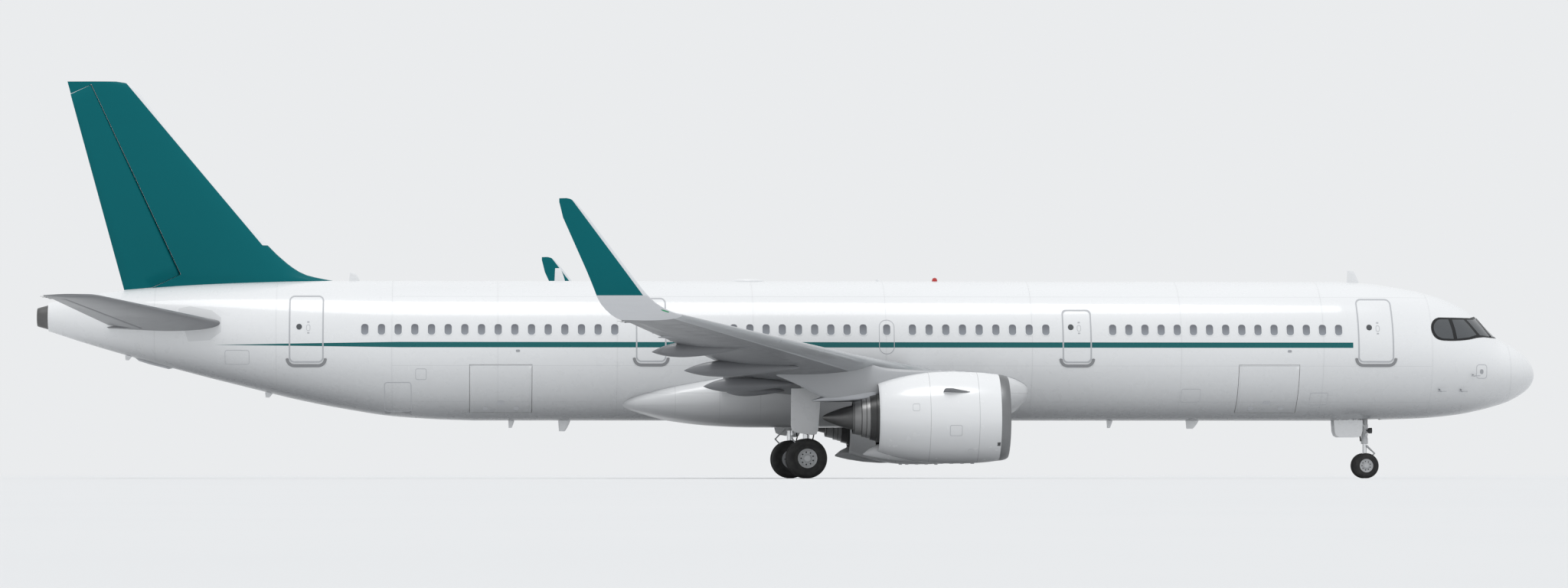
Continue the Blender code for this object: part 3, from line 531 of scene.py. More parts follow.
WHITE = Paint("white_gloss_paint", (0.78, 0.79, 0.8), "white_paint")
HULL = HullPaint("fuselage_paint", (0.78, 0.79, 0.8), "white_paint", shine=0.35)
GREY = WingPaint("wing_grey_paint", (0.175, 0.18, 0.19), "grey_paint", roughness=0.38, coat=0.2)
SKIN = WingPaint("wing_box_paint", (0.175, 0.18, 0.19), "grey_paint", roughness=0.38, coat=0.2, edge_slope=0.5157)
PALE = Paint("leading_edge_paint", (0.42, 0.435, 0.45), "bare_aluminium", roughness=0.34, metallic=0.4)
TEAL = Paint("teal_satin_paint", (0.0, 0.124, 0.142), "teal_paint", roughness=0.46, coat=0.03, shine=0.1, grime=0.02)
FIN = FinPaint("fin_paint", (0.0, 0.124, 0.142), "teal_paint", roughness=0.46, coat=0.03, shine=0.1, grime=0.02)
SEAM = Paint("panel_seal", (0.46, 0.47, 0.49), "grey_paint", roughness=0.5, coat=0.0)
# Dark grey on the strakes as painted shade, for the shadow on their undersides.
STRAKE_SHADE = Paint("strake_shade_paint", (0.22, 0.225, 0.235), "grey_paint", roughness=0.4, coat=0.1)
# Mid grey on the pylon as painted shade, standing in for the shade that falls on it under the wing.
PYLON_SHADE = Paint("pylon_shade_paint", (0.4, 0.41, 0.425), "grey_paint", roughness=0.34)
SILL = Paint("sill_plate", (0.25, 0.255, 0.265), "grey_paint", roughness=0.42, coat=0.1)
LINER = Paint("bay_liner", (0.36, 0.38, 0.34), "grey_paint", roughness=0.6, coat=0.0, grime=0.12)
DOOR_LINER = Paint("door_liner", (0.44, 0.46, 0.42), "grey_paint", roughness=0.55, coat=0.0)
RED_LENS = Glass("red_lens", (0.35, 0.012, 0.01), "cockpit_glass", 0.12)
GREEN_LENS = Glass("green_lens", (0.01, 0.25, 0.1), "cockpit_glass", 0.12)
CLEAR_LENS = Glass("clear_lens", (0.72, 0.73, 0.72), "cockpit_glass", 0.05)
DARK = Paint("dark_seal", (0.055, 0.057, 0.06), "grey_paint", roughness=0.5, coat=0.0)
GEAR = Paint("gear_gloss_paint", (0.56, 0.57, 0.58), "gear_paint", grime=0.1, peel=0.08)
POLISHED = Metal("polished_lip", (0.24, 0.245, 0.25), "bare_aluminium", 0.36)
SPINNER = Paint("spinner_paint", (0.1, 0.105, 0.11), "fan_metal", roughness=0.35)
STEEL = Metal("satin_steel", (0.42, 0.43, 0.45), "bare_aluminium", 0.32)
EXHAUST = Metal("hot_section_metal", (0.17, 0.17, 0.17), "exhaust_metal", 0.36, heat=0.4)
# The nozzle's first band is painted shade on the core inside the fan duct and just behind its exit; the thin bands
# are joint rings.
NOZZLE = Metal("nozzle_metal", (0.3, 0.3, 0.3), "exhaust_metal", 0.34, heat=0.1,
               bands=((19.2, 20.3, 0.25), (20.4, 20.42, 0.35), (20.53, 20.555, 0.4), (20.74, 20.77, 0.4)))
BLADE = Metal("fan_blade_metal", (0.14, 0.145, 0.155), "fan_metal", 0.3)
CABIN_GLASS = WindowGlass("cabin_window", (0.1, 0.105, 0.12), "cockpit_glass", 0.16)
COCKPIT_GLASS = Glass("cockpit_window", (0.045, 0.05, 0.055), "cockpit_glass")
SURROUND = Paint("cockpit_surround_paint", (0.01, 0.011, 0.012), "cockpit_glass", roughness=0.4, coat=0.1, shine=0.3)
TYRE = Rubber("tyre_rubber", (0.018, 0.018, 0.019))

NOSE_ROWS = (
    (0.0, 0.02, 3.03, 3.09, 3.06), (0.05, 0.25, 2.85, 3.33, 3.08), (0.185, 0.465, 2.66, 3.54, 3.09),
    (0.45, 0.735, 2.46, 3.79, 3.1), (0.87, 1.025, 2.25, 4.035, 3.13), (1.18, 1.175, 2.15, 4.195, 3.17),
    (1.25, 1.2, 2.13, 4.26, 3.19), (1.5, 1.31, 2.06, 4.515, 3.23), (1.77, 1.41, 2.0, 4.79, 3.29),
    (2.09, 1.515, 1.93, 5.03, 3.36), (2.63, 1.655, 1.855, 5.295, 3.46), (3.43, 1.8, 1.785, 5.545, 3.58),
    (4.24, 1.9, 1.755, 5.7, 3.68), (5.04, 1.955, 1.731, 5.81, 3.75), (6.0, 1.975, 1.713, 5.855, 3.784),
)
REAR_ROWS = (
    (31.6, 1.975, 1.713, 5.855, 3.784), (32.6, 1.97, 1.745, 5.855, 3.8), (34.0, 1.945, 1.84, 5.855, 3.84),
    (35.4, 1.875, 2.05, 5.855, 3.93), (36.74, 1.76, 2.31, 5.845, 4.04), (38.1, 1.59, 2.64, 5.81, 4.18),
    (39.5, 1.37, 2.99, 5.75, 4.34), (40.85, 1.12, 3.35, 5.66, 4.5), (42.2, 0.84, 3.73, 5.53, 4.64),
    (43.2, 0.62, 4.03, 5.39, 4.72), (44.18, 0.37, 4.35, 5.19, 4.77),
)
NOSE_CURVE = Smooth(NOSE_ROWS, bend=0.5)
REAR_CURVE = Smooth(REAR_ROWS)
AIRFOIL = (
    (0.0, 0.0), (0.002, 0.13), (0.008, 0.28), (0.018, 0.4), (0.03, 0.5), (0.05, 0.61), (0.08, 0.74), (0.12, 0.85),
    (0.18, 0.94), (0.25, 0.985), (0.33, 1.0), (0.42, 0.96), (0.5, 0.89), (0.59, 0.765), (0.68, 0.62), (0.77, 0.45),
    (0.85, 0.3), (0.93, 0.155), (1.0, 0.04),
)


def hull_row(x: float) -> list[float]:
    """Half width, bottom, top and widest height of the fuselage at a station."""
    return NOSE_CURVE(x) if x < 18.0 else REAR_CURVE(x)


def hull_point(x: float, degrees: float, grow: float = 0.0, side: int = -1) -> Vector:
    """A point on the fuselage's skin, in stations.

    Args:
        x: The station.
        degrees: The angle above the widest line, 90 at the crown and -90 at the keel.
        grow: How far outside the skin.
        side: The sign of y.

    Returns:
        The station point.
    """
    half, bottom, top, middle = hull_row(x)
    turn = radians(degrees)
    rise = top - middle if degrees > 0 else middle - bottom
    return Vector((x, side * (half + grow) * cos(turn), middle + (rise + grow) * sin(turn)))


def hull_angle(x: float, z: float) -> float:
    """The angle at which the fuselage's skin has a height."""
    _, bottom, top, middle = hull_row(x)
    rise = top - middle if z > middle else middle - bottom
    return math.degrees(math.asin(max(-1.0, min(1.0, (z - middle) / rise))))


def hull_ring(x: float, grow: float = 0.0, sides: int = 128) -> list[Vector]:
    """A ring of points round the fuselage's skin at a station, moved out by grow."""
    half, bottom, top, middle = hull_row(x)
    ring = []
    for k in range(sides):
        turn = tau * k / sides
        rise = top - middle if sin(turn) > 0 else middle - bottom
        ring.append(Vector((x, (half + grow) * cos(turn), middle + (rise + grow) * sin(turn))))
    return ring


def skin_point(x: float, z: float, grow: float = 0.0, side: int = -1) -> Vector:
    """The skin's point at a station and a height, moved out by grow."""
    return hull_point(x, hull_angle(x, z), grow, side)


class Body:
    """A mesh under construction in stations, and the ways to turn it into an object of the model."""

    def __init__(self) -> None:
        """Starts an empty mesh."""
        self.mesh = bmesh.new()

    def loft(self, rings: list[list[Vector | Point]], caps: bool = True, ring_closed: bool = True,
             closed: bool = False) -> "Body":
        """Adds a skin through rings of points.

        Args:
            rings: Rows of the same number of points.
            caps: Whether the first and last row are filled.
            ring_closed: Whether each row closes on itself.
            closed: Whether the last row joins the first.

        Returns:
            The body, for a further call.
        """
        rows = [[self.mesh.verts.new(point) for point in ring] for ring in rings]
        count = len(rows[0]) if ring_closed else len(rows[0]) - 1
        for near, far in zip(rows, rows[1:] + rows[:1] if closed else rows[1:]):
            for i in range(count):
                j = (i + 1) % len(near)
                self.mesh.faces.new((near[i], near[j], far[j], far[i]))
        if caps and not closed:
            self.mesh.faces.new(rows[0])
            self.mesh.faces.new(rows[-1])
        return self

    def tube(self, path: list[Point], radius: float | list[float], sides: int = 12, flat: float = 1.0) -> "Body":
        """Adds a round rod along a path.

        Args:
            path: Its middle line.
            radius: Its radius, or one for each of the path's points.
            sides: Its number of sides.
            flat: The second cross axis as a share of the first.

        Returns:
            The body, for a further call.
        """
        points = [Vector(p) for p in path]
        across = None
        rings = []
        for i, centre in enumerate(points):
            along = (points[min(i + 1, len(points) - 1)] - points[max(i - 1, 0)]).normalized()
            if across is None:
                across = along.orthogonal()
            across = (across - along * along.dot(across)).normalized()
            other = along.cross(across)
            size = radius[i] if isinstance(radius, list) else radius
            turns = [2 * pi * (k + 0.5) / sides for k in range(sides)]
            rings.append([centre + size * (cos(t) * across + flat * sin(t) * other) for t in turns])
        return self.loft(rings)

    def turned(self, profile: list[tuple[float, float]], centre: Point, axis: str = "x", sides: int = 96) -> "Body":
        """Adds a turned solid or closed ring.

        Args:
            profile: Distance along the axis and radius, in order round its section.
            centre: A point of the axis.
            axis: "x", "y" or "z".
            sides: Its number of sides.

        Returns:
            The body, for a further call.
        """
        index = "xyz".index(axis)
        one, two = Vector((0, 0, 0)), Vector((0, 0, 0))
        one[(index + 1) % 3], two[(index + 2) % 3] = 1.0, 1.0
        rings = []
        for k in range(sides):
            turn = 2 * pi * (k + 0.5) / sides
            out = cos(turn) * one + sin(turn) * two
            ring = []
            for along, radius in profile:
                point = Vector(centre) + radius * out
                point[index] += along
                ring.append(point)
            rings.append(ring)
        hole = all(radius > 1e-6 for _, radius in profile)
        return self.loft(rings, caps=False, ring_closed=hole, closed=True)

    def box(self, low: Point, high: Point) -> "Body":
        """Adds a block between two corners."""
        (x0, y0, z0), (x1, y1, z1) = low, high
        rings = [[(x, y0, z0), (x, y1, z0), (x, y1, z1), (x, y0, z1)] for x in (x0, x1)]
        return self.loft(rings)

    def plate(self, outline: list[tuple[float, float]], y0: float, y1: float) -> "Body":
        """Adds a flat plate with an outline of x, z points between two values of y."""
        return self.loft([[(x, y, z) for x, z in outline] for y in (y0, y1)])

    def object(self, name: str, finish: "Finish | None" = None, sharp: float = 35.0) -> Piece:
        """The mesh as an object of the model, at the origin with its place in its mesh.

        Args:
            name: The object's name.
            finish: Its finish, if it is dressed at once.
            sharp: The angle in degrees past which an edge stays sharp.

        Returns:
            The object.
        """
        for vertex in self.mesh.verts:
            vertex.co = at(*vertex.co)
        bmesh.ops.remove_doubles(self.mesh, verts=self.mesh.verts, dist=2e-6)
        bmesh.ops.dissolve_degenerate(self.mesh, edges=self.mesh.edges, dist=1e-7)
        bmesh.ops.recalc_face_normals(self.mesh, faces=self.mesh.faces)
        data = bpy.data.meshes.new(name)
        self.mesh.to_mesh(data)
        self.mesh.free()
        data.shade_smooth()
        data.set_sharp_from_angle(angle=radians(sharp))
        made = bpy.data.objects.new(name, data)
        bpy.context.scene.collection.objects.link(made)
        if finish:
            data.materials.append(finish.make())
        return made

    def put(self, name: str, finish: Finish, *replaces: str, body: str = "airframe",
            sharp: float = 35.0) -> Piece:
        """The mesh as a finished piece that rides on a body."""
        return ride(self.object(name, finish, sharp), finish, *replaces, body=body)


def baked(piece: Piece) -> Piece:
    """Turns a piece with modifiers into a plain mesh.

    Args:
        piece: The object.

    Returns:
        The same object, with its modifiers' result as its mesh.
    """
    depsgraph = bpy.context.evaluated_depsgraph_get()
    data = bpy.data.meshes.new_from_object(piece.evaluated_get(depsgraph), depsgraph=depsgraph)
    old = piece.data
    piece.modifiers.clear()
    piece.data = data
    if old.users == 0:
        bpy.data.meshes.remove(old)
    return piece


def cut(target: Piece, tool: Piece, operation: str = "DIFFERENCE",
        solver: str = "EXACT") -> None:
    """Applies a Boolean and removes its tool.

    Args:
        target: The object that it changes.
        tool: The other object.
        operation: Blender's name of the operation.
        solver: Blender's name of the solver.
    """
    modifier = target.modifiers.new("Cut", "BOOLEAN")
    modifier.object = tool
    modifier.operation = operation
    modifier.solver = solver
    modifier.material_mode = "TRANSFER"
    baked(target)
    bpy.data.objects.remove(tool)


def sharpen(piece: Piece, degrees: float) -> None:
    """Keeps a piece's edges sharp past an angle."""
    piece.data.set_sharp_from_angle(angle=radians(degrees))


def rounded(piece: Piece, width: float, angle: float = 40.0) -> Piece:
    """Rounds a piece's sharp edges.

    Args:
        piece: The object.
        width: The width of the round, in the model's metres.
        angle: The least angle that is rounded, in degrees.

    Returns:
        The same object.
    """
    bevel = piece.modifiers.new("Round", "BEVEL")
    bevel.width = width
    bevel.segments = 2
    bevel.limit_method = "ANGLE"
    bevel.angle_limit = radians(angle)
    bevel.harden_normals = True
    return baked(piece)


def ride(piece: Piece, finish: Finish, *replaces: str, body: str = "airframe") -> Piece:
    """Puts a finished piece on its body and hides the CAD nodes that it stands for.

    Args:
        piece: The object.
        finish: Not used.
        replaces: CAD nodes that it stands for; an empty name is left out.
        body: The body's name.

    Returns:
        The same object.
    """
    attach(piece, body)
    nodes = [node for node in replaces if node]
    if nodes:
        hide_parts(*nodes)
    LOG.info("%s on %s, %d faces", piece.name, body, len(piece.data.polygons))
    return piece


class Repeat:
    """Geometry Nodes that set one shape on many places, or many turns of it round an axis."""

    def __init__(self) -> None:
        """Builds both trees."""
        self.spots = self._tree("SpotRepeat", ring=False)
        self.ring = self._tree("RingRepeat", ring=True)

    def _tree(self, name: str, ring: bool) -> Tree:
        """One tree, with its shape, its material and its count as named inputs."""
        tree = bpy.data.node_groups.new(name, "GeometryNodeTree")
        for label, kind in (("Geometry", "Geometry"), ("Shape", "Object"), ("Material", "Material"),
                            ("Count", "Int")):
            tree.interface.new_socket(label, in_out="INPUT", socket_type="NodeSocket" + kind)
        tree.interface.new_socket("Geometry", in_out="OUTPUT", socket_type="NodeSocketGeometry")
        start = add_node(tree, "NodeGroupInput").outputs
        shape = add_node(tree, "GeometryNodeObjectInfo", {"Object": start["Shape"]}).outputs["Geometry"]
        if ring:
            index = add_node(tree, "GeometryNodeInputIndex").outputs[0]
            step = add_node(tree, "ShaderNodeMath", {0: tau, 1: start["Count"]}, operation="DIVIDE").outputs[0]
            turn = add_node(tree, "ShaderNodeMath", {0: index, 1: step}, operation="MULTIPLY").outputs[0]
            part = add_node(tree, "ShaderNodeCombineXYZ", {"X": turn}).outputs[0]
            points = add_node(tree, "GeometryNodeMeshLine", {"Count": start["Count"], "Offset": (0, 0, 0)}).outputs[0]
        else:
            named = add_node(tree, "GeometryNodeInputNamedAttribute", {"Name": "turn"}, data_type="FLOAT_VECTOR")
            part = named.outputs[0]
            points = start["Geometry"]
        turned = add_node(tree, "FunctionNodeEulerToRotation", {"Euler": part}).outputs[0]
        sockets = {"Points": points, "Instance": shape, "Rotation": turned}
        copies = add_node(tree, "GeometryNodeInstanceOnPoints", sockets).outputs[0]
        plain = add_node(tree, "GeometryNodeRealizeInstances", {"Geometry": copies}).outputs[0]
        sockets = {"Geometry": plain, "Material": start["Material"]}
        add_node(tree, "NodeGroupOutput", {0: add_node(tree, "GeometryNodeSetMaterial", sockets).outputs[0]})
        return tree

    def _run(self, tree: Tree, carrier: Piece, shape: Piece,
             finish: Finish, count: int = 1) -> Piece:
        """Sets the inputs, evaluates the tree and keeps the plain mesh."""
        modifier = carrier.modifiers.new("Repeat", "NODES")
        modifier.node_group = tree
        values = {"Shape": shape, "Material": finish.make(), "Count": count}
        for item in tree.interface.items_tree:
            if item.in_out == "INPUT" and item.name in values:
                modifier[item.identifier] = values[item.name]
        baked(carrier)
        bpy.data.objects.remove(shape)
        return carrier

    def spread(self, name: str, shape: Piece, places: list[tuple[Vector, Vector, Vector]],
               finish: Finish) -> Piece:
        """Sets a shape on places.

        Args:
            name: The new piece's name.
            shape: The shape round the origin, its face towards +Z and its top towards +Y. It is used up.
            places: For each, the station point, the way it faces and the way its top points.
            finish: Its finish.

        Returns:
            The piece as one plain mesh.
        """
        data = bpy.data.meshes.new(name)
        data.from_pydata([at(*place) for place, _, _ in places], [], [])
        turn = data.attributes.new("turn", "FLOAT_VECTOR", "POINT")
        for index, (_, facing, up) in enumerate(places):
            out = Vector((-facing[0], facing[1], facing[2])).normalized()
            top = Vector((-up[0], up[1], up[2]))
            top = (top - out * top.dot(out)).normalized()
            across = top.cross(out)
            rows = [(across[i], top[i], out[i]) for i in range(3)]
            turn.data[index].vector = Matrix(rows).to_euler()
        carrier = bpy.data.objects.new(name, data)
        bpy.context.scene.collection.objects.link(carrier)
        return self._run(self.spots, carrier, shape, finish)

    def around(self, name: str, shape: Piece, centre: Point, count: int,
               finish: Finish) -> Piece:
        """Sets turns of a shape round an axis along x through a station point.

        Args:
            name: The new piece's name.
            shape: The shape as it stands round the origin. It is used up.
            centre: A point of the axis.
            count: How many.
            finish: Its finish.

        Returns:
            The piece as one plain mesh.
        """
        carrier = bpy.data.objects.new(name, bpy.data.meshes.new(name))
        bpy.context.scene.collection.objects.link(carrier)
        self._run(self.ring, carrier, shape, finish, count)
        carrier.data.transform(Matrix.Translation(at(*centre)))
        return carrier


def local(piece: Piece) -> Piece:
    """Moves a shape that was built round station (0, 0, 0) to the origin, for Repeat."""
    piece.data.transform(Matrix.Translation(-at(0.0, 0.0, 0.0)))
    return piece


def rounded_outline(x0: float, x1: float, z0: float, z1: float, radius: float, steps: int = 6) -> list[tuple]:
    """The points of a rectangle with round corners, as x and z."""
    points = []
    corners = ((x1 - radius, z1 - radius, 0), (x0 + radius, z1 - radius, 90), (x0 + radius, z0 + radius, 180),
               (x1 - radius, z0 + radius, 270))
    for cx, cz, start in corners:
        for k in range(steps + 1):
            turn = radians(start + 90.0 * k / steps)
            points.append((cx + radius * cos(turn), cz + radius * sin(turn)))
    dense = []
    for i, (xa, za) in enumerate(points):
        xb, zb = points[(i + 1) % len(points)]
        parts = max(1, round(math.hypot(xb - xa, zb - za) / 0.12))
        dense += [(xa + (xb - xa) * k / parts, za + (zb - za) * k / parts) for k in range(parts)]
    return dense


def skin_frame(body: Body, x0: float, x1: float, z0: float, z1: float, radius: float, width: float,
               side: int, height: float = 0.004) -> None:
    """Adds a thin raised line round a rectangle on the fuselage's skin.

    Args:
        body: The mesh it is added to.
        x0: Its front.
        x1: Its rear.
        z0: Its foot.
        z1: Its top.
        radius: Its corners' radius.
        width: The line's width.
        side: The sign of y.
        height: How far it stands proud of the skin.
    """
    inner = rounded_outline(x0, x1, z0, z1, radius)
    outer = rounded_outline(x0 - width, x1 + width, z0 - width, z1 + width, radius + width)
    if len(inner) != len(outer):
        middle = (0.5 * (x0 + x1), 0.5 * (z0 + z1))
        outer = []
        for x, z in inner:
            way = Vector((x - middle[0], z - middle[1]))
            reach = Vector((0.5 * (x1 - x0), 0.5 * (z1 - z0)))
            outer.append((middle[0] + way.x * (1 + width / reach.x), middle[1] + way.y * (1 + width / reach.y)))
    rings = []
    for (xa, za), (xb, zb) in zip(inner, outer):
        rings.append([skin_point(xa, za, height, side), skin_point(xb, zb, height, side),
                      skin_point(xb, zb, SUNK, side), skin_point(xa, za, SUNK, side)])
    body.loft(rings, closed=True, caps=False)


def skin_patch(body: Body, x0: float, x1: float, z0: float, z1: float, radius: float, side: int,
               height: float = 0.004, columns: int = 1) -> None:
    """Adds a thin plate with round corners that follows the fuselage's skin.

    Args:
        body: The mesh it is added to.
        x0: Its front.
        x1: Its rear.
        z0: Its foot.
        z1: Its top.
        radius: Its corners' radius.
        side: The sign of y.
        height: How far it stands proud of the skin.
        columns: Its strips along x.
    """
    levels = [radius * (1 - cos(pi * k / 8)) for k in range(5)]
    rise = z1 - z0
    inside = max(1, round((rise - 2 * radius) / 0.12))
    heights = [z0 + level for level in levels]
    heights += [z0 + radius + (rise - 2 * radius) * k / inside for k in range(1, inside)]
    heights += [z1 - level for level in reversed(levels)]
    rings = []
    for z in heights:
        edge = min(z - z0, z1 - z, radius)
        cut = radius - math.sqrt(max(radius ** 2 - (radius - edge) ** 2, 0.0))
        cut = min(cut, 0.5 * (x1 - x0) - 1e-4)
        xs = [x0 + cut + (x1 - x0 - 2 * cut) * k / columns for k in range(columns + 1)]
        rings.append([skin_point(x, z, height, side) for x in xs]
                     + [skin_point(x, z, SUNK, side) for x in reversed(xs)])
    body.loft(rings)


def skin_cup(body: Body, x0: float, x1: float, z0: float, z1: float, radius: float, width: float, side: int,
             height: float = 0.012) -> None:
    """Adds a plate in the shape of a shallow cup, round at both ends, under a door on the fuselage's skin.

    Args:
        body: The mesh it is added to.
        x0: Its inner edge in front.
        x1: Its inner edge at the rear.
        z0: Its inner edge at the foot.
        z1: Where its sides end, without their round ends.
        radius: The inner corners' radius.
        width: Its width.
        side: The sign of y.
        height: How far it stands proud of the skin.
    """
    half = 0.5 * width
    turns = [radians(15.0 * k) for k in range(7)]
    path = [((x0 - half, z1 + half * cos(t)), (half * sin(t), 0.0)) for t in turns]
    path += [((x0 + radius - (radius + half) * cos(t), z0 + radius - (radius + half) * sin(t)),
              (half * cos(t), half * sin(t))) for t in turns]
    path += [((x0 + radius + (x1 - x0 - 2 * radius) * k / 8, z0 - half), (0.0, half)) for k in range(1, 8)]
    path += [((x1 - radius + (radius + half) * sin(t), z0 + radius - (radius + half) * cos(t)),
              (-half * sin(t), half * cos(t))) for t in turns]
    path += [((x1 + half, z1 + half * sin(t)), (-half * cos(t), 0.0)) for t in turns]
    rings = []
    for (x, z), (across, up) in path:
        across, up = (across, up) if abs(across) + abs(up) > 1e-4 else (1e-4, 0.0)
        rings.append([skin_point(x + across, z + up, height, side), skin_point(x - across, z - up, height, side),
                      skin_point(x - across, z - up, SUNK, side), skin_point(x + across, z + up, SUNK, side)])
    body.loft(rings)


@dataclass
class Door:
    """A passenger door's outline on the skin: stations, heights and where its small window is."""

    front: float
    rear: float
    foot: float
    top: float
    window: float | None = None


@dataclass
class Fuselage:
    """The fuselage: skins, cockpit glazing, cabin windows, doors, holds, antennas, probes and lights."""

    repeat: Repeat
    bay: tuple[Point, Point] = ((4.62, -0.3, 1.0), (6.05, 0.3, 2.45))
    hold: tuple[float, float, float, float] = (-1.7, 1.05, 2.26, 3.16)
    window_height: float = 4.362
    window_size: tuple[float, float] = (0.215, 0.33)
    window_rows: tuple[tuple[float, float, int], ...] = (
        (34.794, 27.472, 16), (23.981, 20.175, 9), (19.484, 19.484, 1), (18.727, 14.797, 9), (12.826, 6.153, 15))
    doors: tuple[Door, ...] = (
        Door(4.555, 5.54, 3.45, 5.26, 5.24), Door(13.49, 14.27, 3.43, 4.92, 14.06),
        Door(26.0, 26.81, 3.45, 5.27, 26.55), Door(36.04, 36.98, 3.43, 5.33, 36.72))
    exits: tuple[float, ...] = (19.484,)
    cargo: tuple[tuple[str, str, float, float], ...] = (
        ("forward_cargo_door", "forward_fuselage", 7.31, 9.09), ("aft_cargo_door", "rear_fuselage", 29.9, 31.72))
    cargo_degrees: tuple[float, float] = (-13.5, -64.0)
    cargo_thickness: float = 0.09
    hinge_radius: float = 0.022

    def rings(self, start: float, end: float, grow: float = 0.0, step: float = 0.3) -> list[list[Vector]]:
        """Rings of the skin from a station to another."""
        if end < 7.0:
            step = min(step, 0.09)
        elif end > 33.0:
            step = min(step, 0.22)
        count = max(2, round((end - start) / step))
        xs = [start + (end - start) * k / count for k in range(count + 1)]
        if start == 0.0:
            xs = [end * (k / 24.0) ** 2 for k in range(25)]
        return [hull_ring(x, grow) for x in xs]

    def skins(self) -> None:
        """The six production sections, with the nose gear bay and the cargo doors' openings."""
        rows = (("nose_radome", 0.0, 0.87), ("nose_fuselage", 0.87, 6.6), ("forward_fuselage", 6.6, 15.2),
                ("centre_fuselage", 15.2, 27.4), ("rear_fuselage", 27.4, 34.0), ("tail_cone", 34.0, 44.18))
        for node, start, end in rows:
            last = end if node == "tail_cone" else end - GAP
            piece = Body().loft(self.rings(start, last)).object("skin_" + node, HULL)
            if node == "nose_fuselage":
                cut(piece, Body().box(*self.bay).object("bay", LINER))
            for name, body, x0, x1 in self.cargo:
                if node == body:
                    for tool in self.door_room(x0, x1):
                        cut(piece, tool)
            sharpen(piece, 30)
            ride(piece, HULL, node)

    def wedge(self, x0: float, x1: float, low: float, high: float) -> Body:
        """A wedge on the starboard side from the middle line out past the skin, between two angles."""
        points = [(0.0, CABIN_MIDDLE)]
        for k in range(9):
            turn = radians(low + (high - low) * k / 8)
            points.append((-3.2 * cos(turn), CABIN_MIDDLE + 3.2 * sin(turn)))
        return Body().loft([[(x, y, z) for y, z in points] for x in (x0, x1)])

    def hinge(self) -> tuple[float, float]:
        """y and z of the cargo doors' hinge line."""
        turn = radians(self.cargo_degrees[0])
        return (-(CABIN_HALF_WIDTH - self.hinge_radius) * cos(turn),
                CABIN_MIDDLE + (CABIN_RISE - self.hinge_radius) * sin(turn))

    def door_room(self, x0: float, x1: float) -> list[Piece]:
        """The tools that cut a cargo door's seat, its hinge's room and its hold out of the fuselage."""
        margin = math.degrees(RUNNING_GAP / CABIN_HALF_WIDTH)
        seat = self.wedge(x0 - RUNNING_GAP, x1 + RUNNING_GAP, self.cargo_degrees[1] - margin,
                          self.cargo_degrees[0] + margin).object("seat", LINER)
        inside = self.rings(x0 - 0.6, x1 + 0.6, -self.cargo_thickness - RUNNING_GAP)
        cut(seat, Body().loft(inside).object("inside", LINER))
        y, z = self.hinge()
        room = Body().tube([(x0 - RUNNING_GAP, y, z), (x1 + RUNNING_GAP, y, z)], self.hinge_radius + RUNNING_GAP, 24)
        y0, y1, z0, z1 = self.hold
        hold = Body().box((x0 + 0.06, y0, z0), (x1 - 0.06, y1, z1)).object("hold", LINER)
        return [seat, room.object("room", LINER), hold]

    def cargo_doors(self) -> None:
        """The two cargo doors as curved plates with their hinge beads, latches and inner faces."""
        y, z = self.hinge()
        for name, _, x0, x1 in self.cargo:
            door = self.wedge(x0, x1, self.cargo_degrees[1], self.cargo_degrees[0]).object("panel_" + name, HULL)
            cut(door, Body().loft(self.rings(x0 - 0.5, x1 + 0.5)).object("outside", HULL), "INTERSECT")
            inside = Body().loft(self.rings(x0 - 0.6, x1 + 0.6, -self.cargo_thickness)).object("inside", DOOR_LINER)
            cut(door, inside)
            reach = RUNNING_GAP - GAP
            bead = Body().tube([(x0 - reach, y, z), (x1 + reach, y, z)], self.hinge_radius, 24).object("bead", STEEL)
            cut(door, bead, "UNION")
            rounded(door, 0.002, angle=60.0)
            sharpen(door, 30)
            ride(door, HULL, name, body=name)
            fittings = Body()
            for share in (0.25, 0.75):
                x = x0 + share * (x1 - x0)
                skin_patch(fittings, x - 0.07, x + 0.07, 2.02, 2.12, 0.03, -1, 0.005)
            skin_patch(fittings, 0.5 * (x0 + x1) - 0.11, 0.5 * (x0 + x1) + 0.11, 2.16, 2.28, 0.04, -1, 0.005)
            fittings.put("latches_" + name, SEAM, body=name)

    def bay_fittings(self) -> None:
        """Frames inside the nose gear bay, and rails and rollers in the holds."""
        (x0, y0, _), (x1, y1, roof) = self.bay
        ribs = Body()
        for share in (0.12, 0.38, 0.64, 0.9):
            x = x0 + share * (x1 - x0)
            ribs.box((x - 0.012, y0 - 0.005, 1.85), (x + 0.012, y0 + 0.03, roof + 0.004))
            ribs.box((x - 0.012, y1 - 0.03, 1.85), (x + 0.012, y1 + 0.005, roof + 0.004))
            ribs.box((x - 0.012, y0 + 0.03, roof - 0.03), (x + 0.012, y1 - 0.03, roof + 0.004))
        ribs.put("nose_bay_frames", LINER)
        rails, rollers = Body(), Body()
        y0, y1, z0, z1 = self.hold
        for _, _, x0, x1 in self.cargo:
            for y in (-1.05, -0.6, -0.15, 0.3, 0.75):
                rails.box((x0 + 0.1, y - 0.05, z0 - 0.01), (x1 - 0.1, y + 0.05, z0 + 0.03))
                for k in range(9):
                    x = x0 + 0.2 + (x1 - x0 - 0.4) * k / 8
                    rollers.tube([(x, y - 0.035, z0 + 0.035), (x, y + 0.035, z0 + 0.035)], 0.018, 10)
            for x in (x0 + 0.5, 0.5 * (x0 + x1), x1 - 0.5):
                rails.box((x - 0.02, y1 - 0.03, z0 - 0.01), (x + 0.02, y1 + 0.01, z1 + 0.01))
                rails.box((x - 0.02, y0 + 0.25, z1 - 0.03), (x + 0.02, y1 - 0.03, z1 + 0.01))
        rails.put("hold_rails", STEEL)
        rollers.put("hold_rollers", DARK)

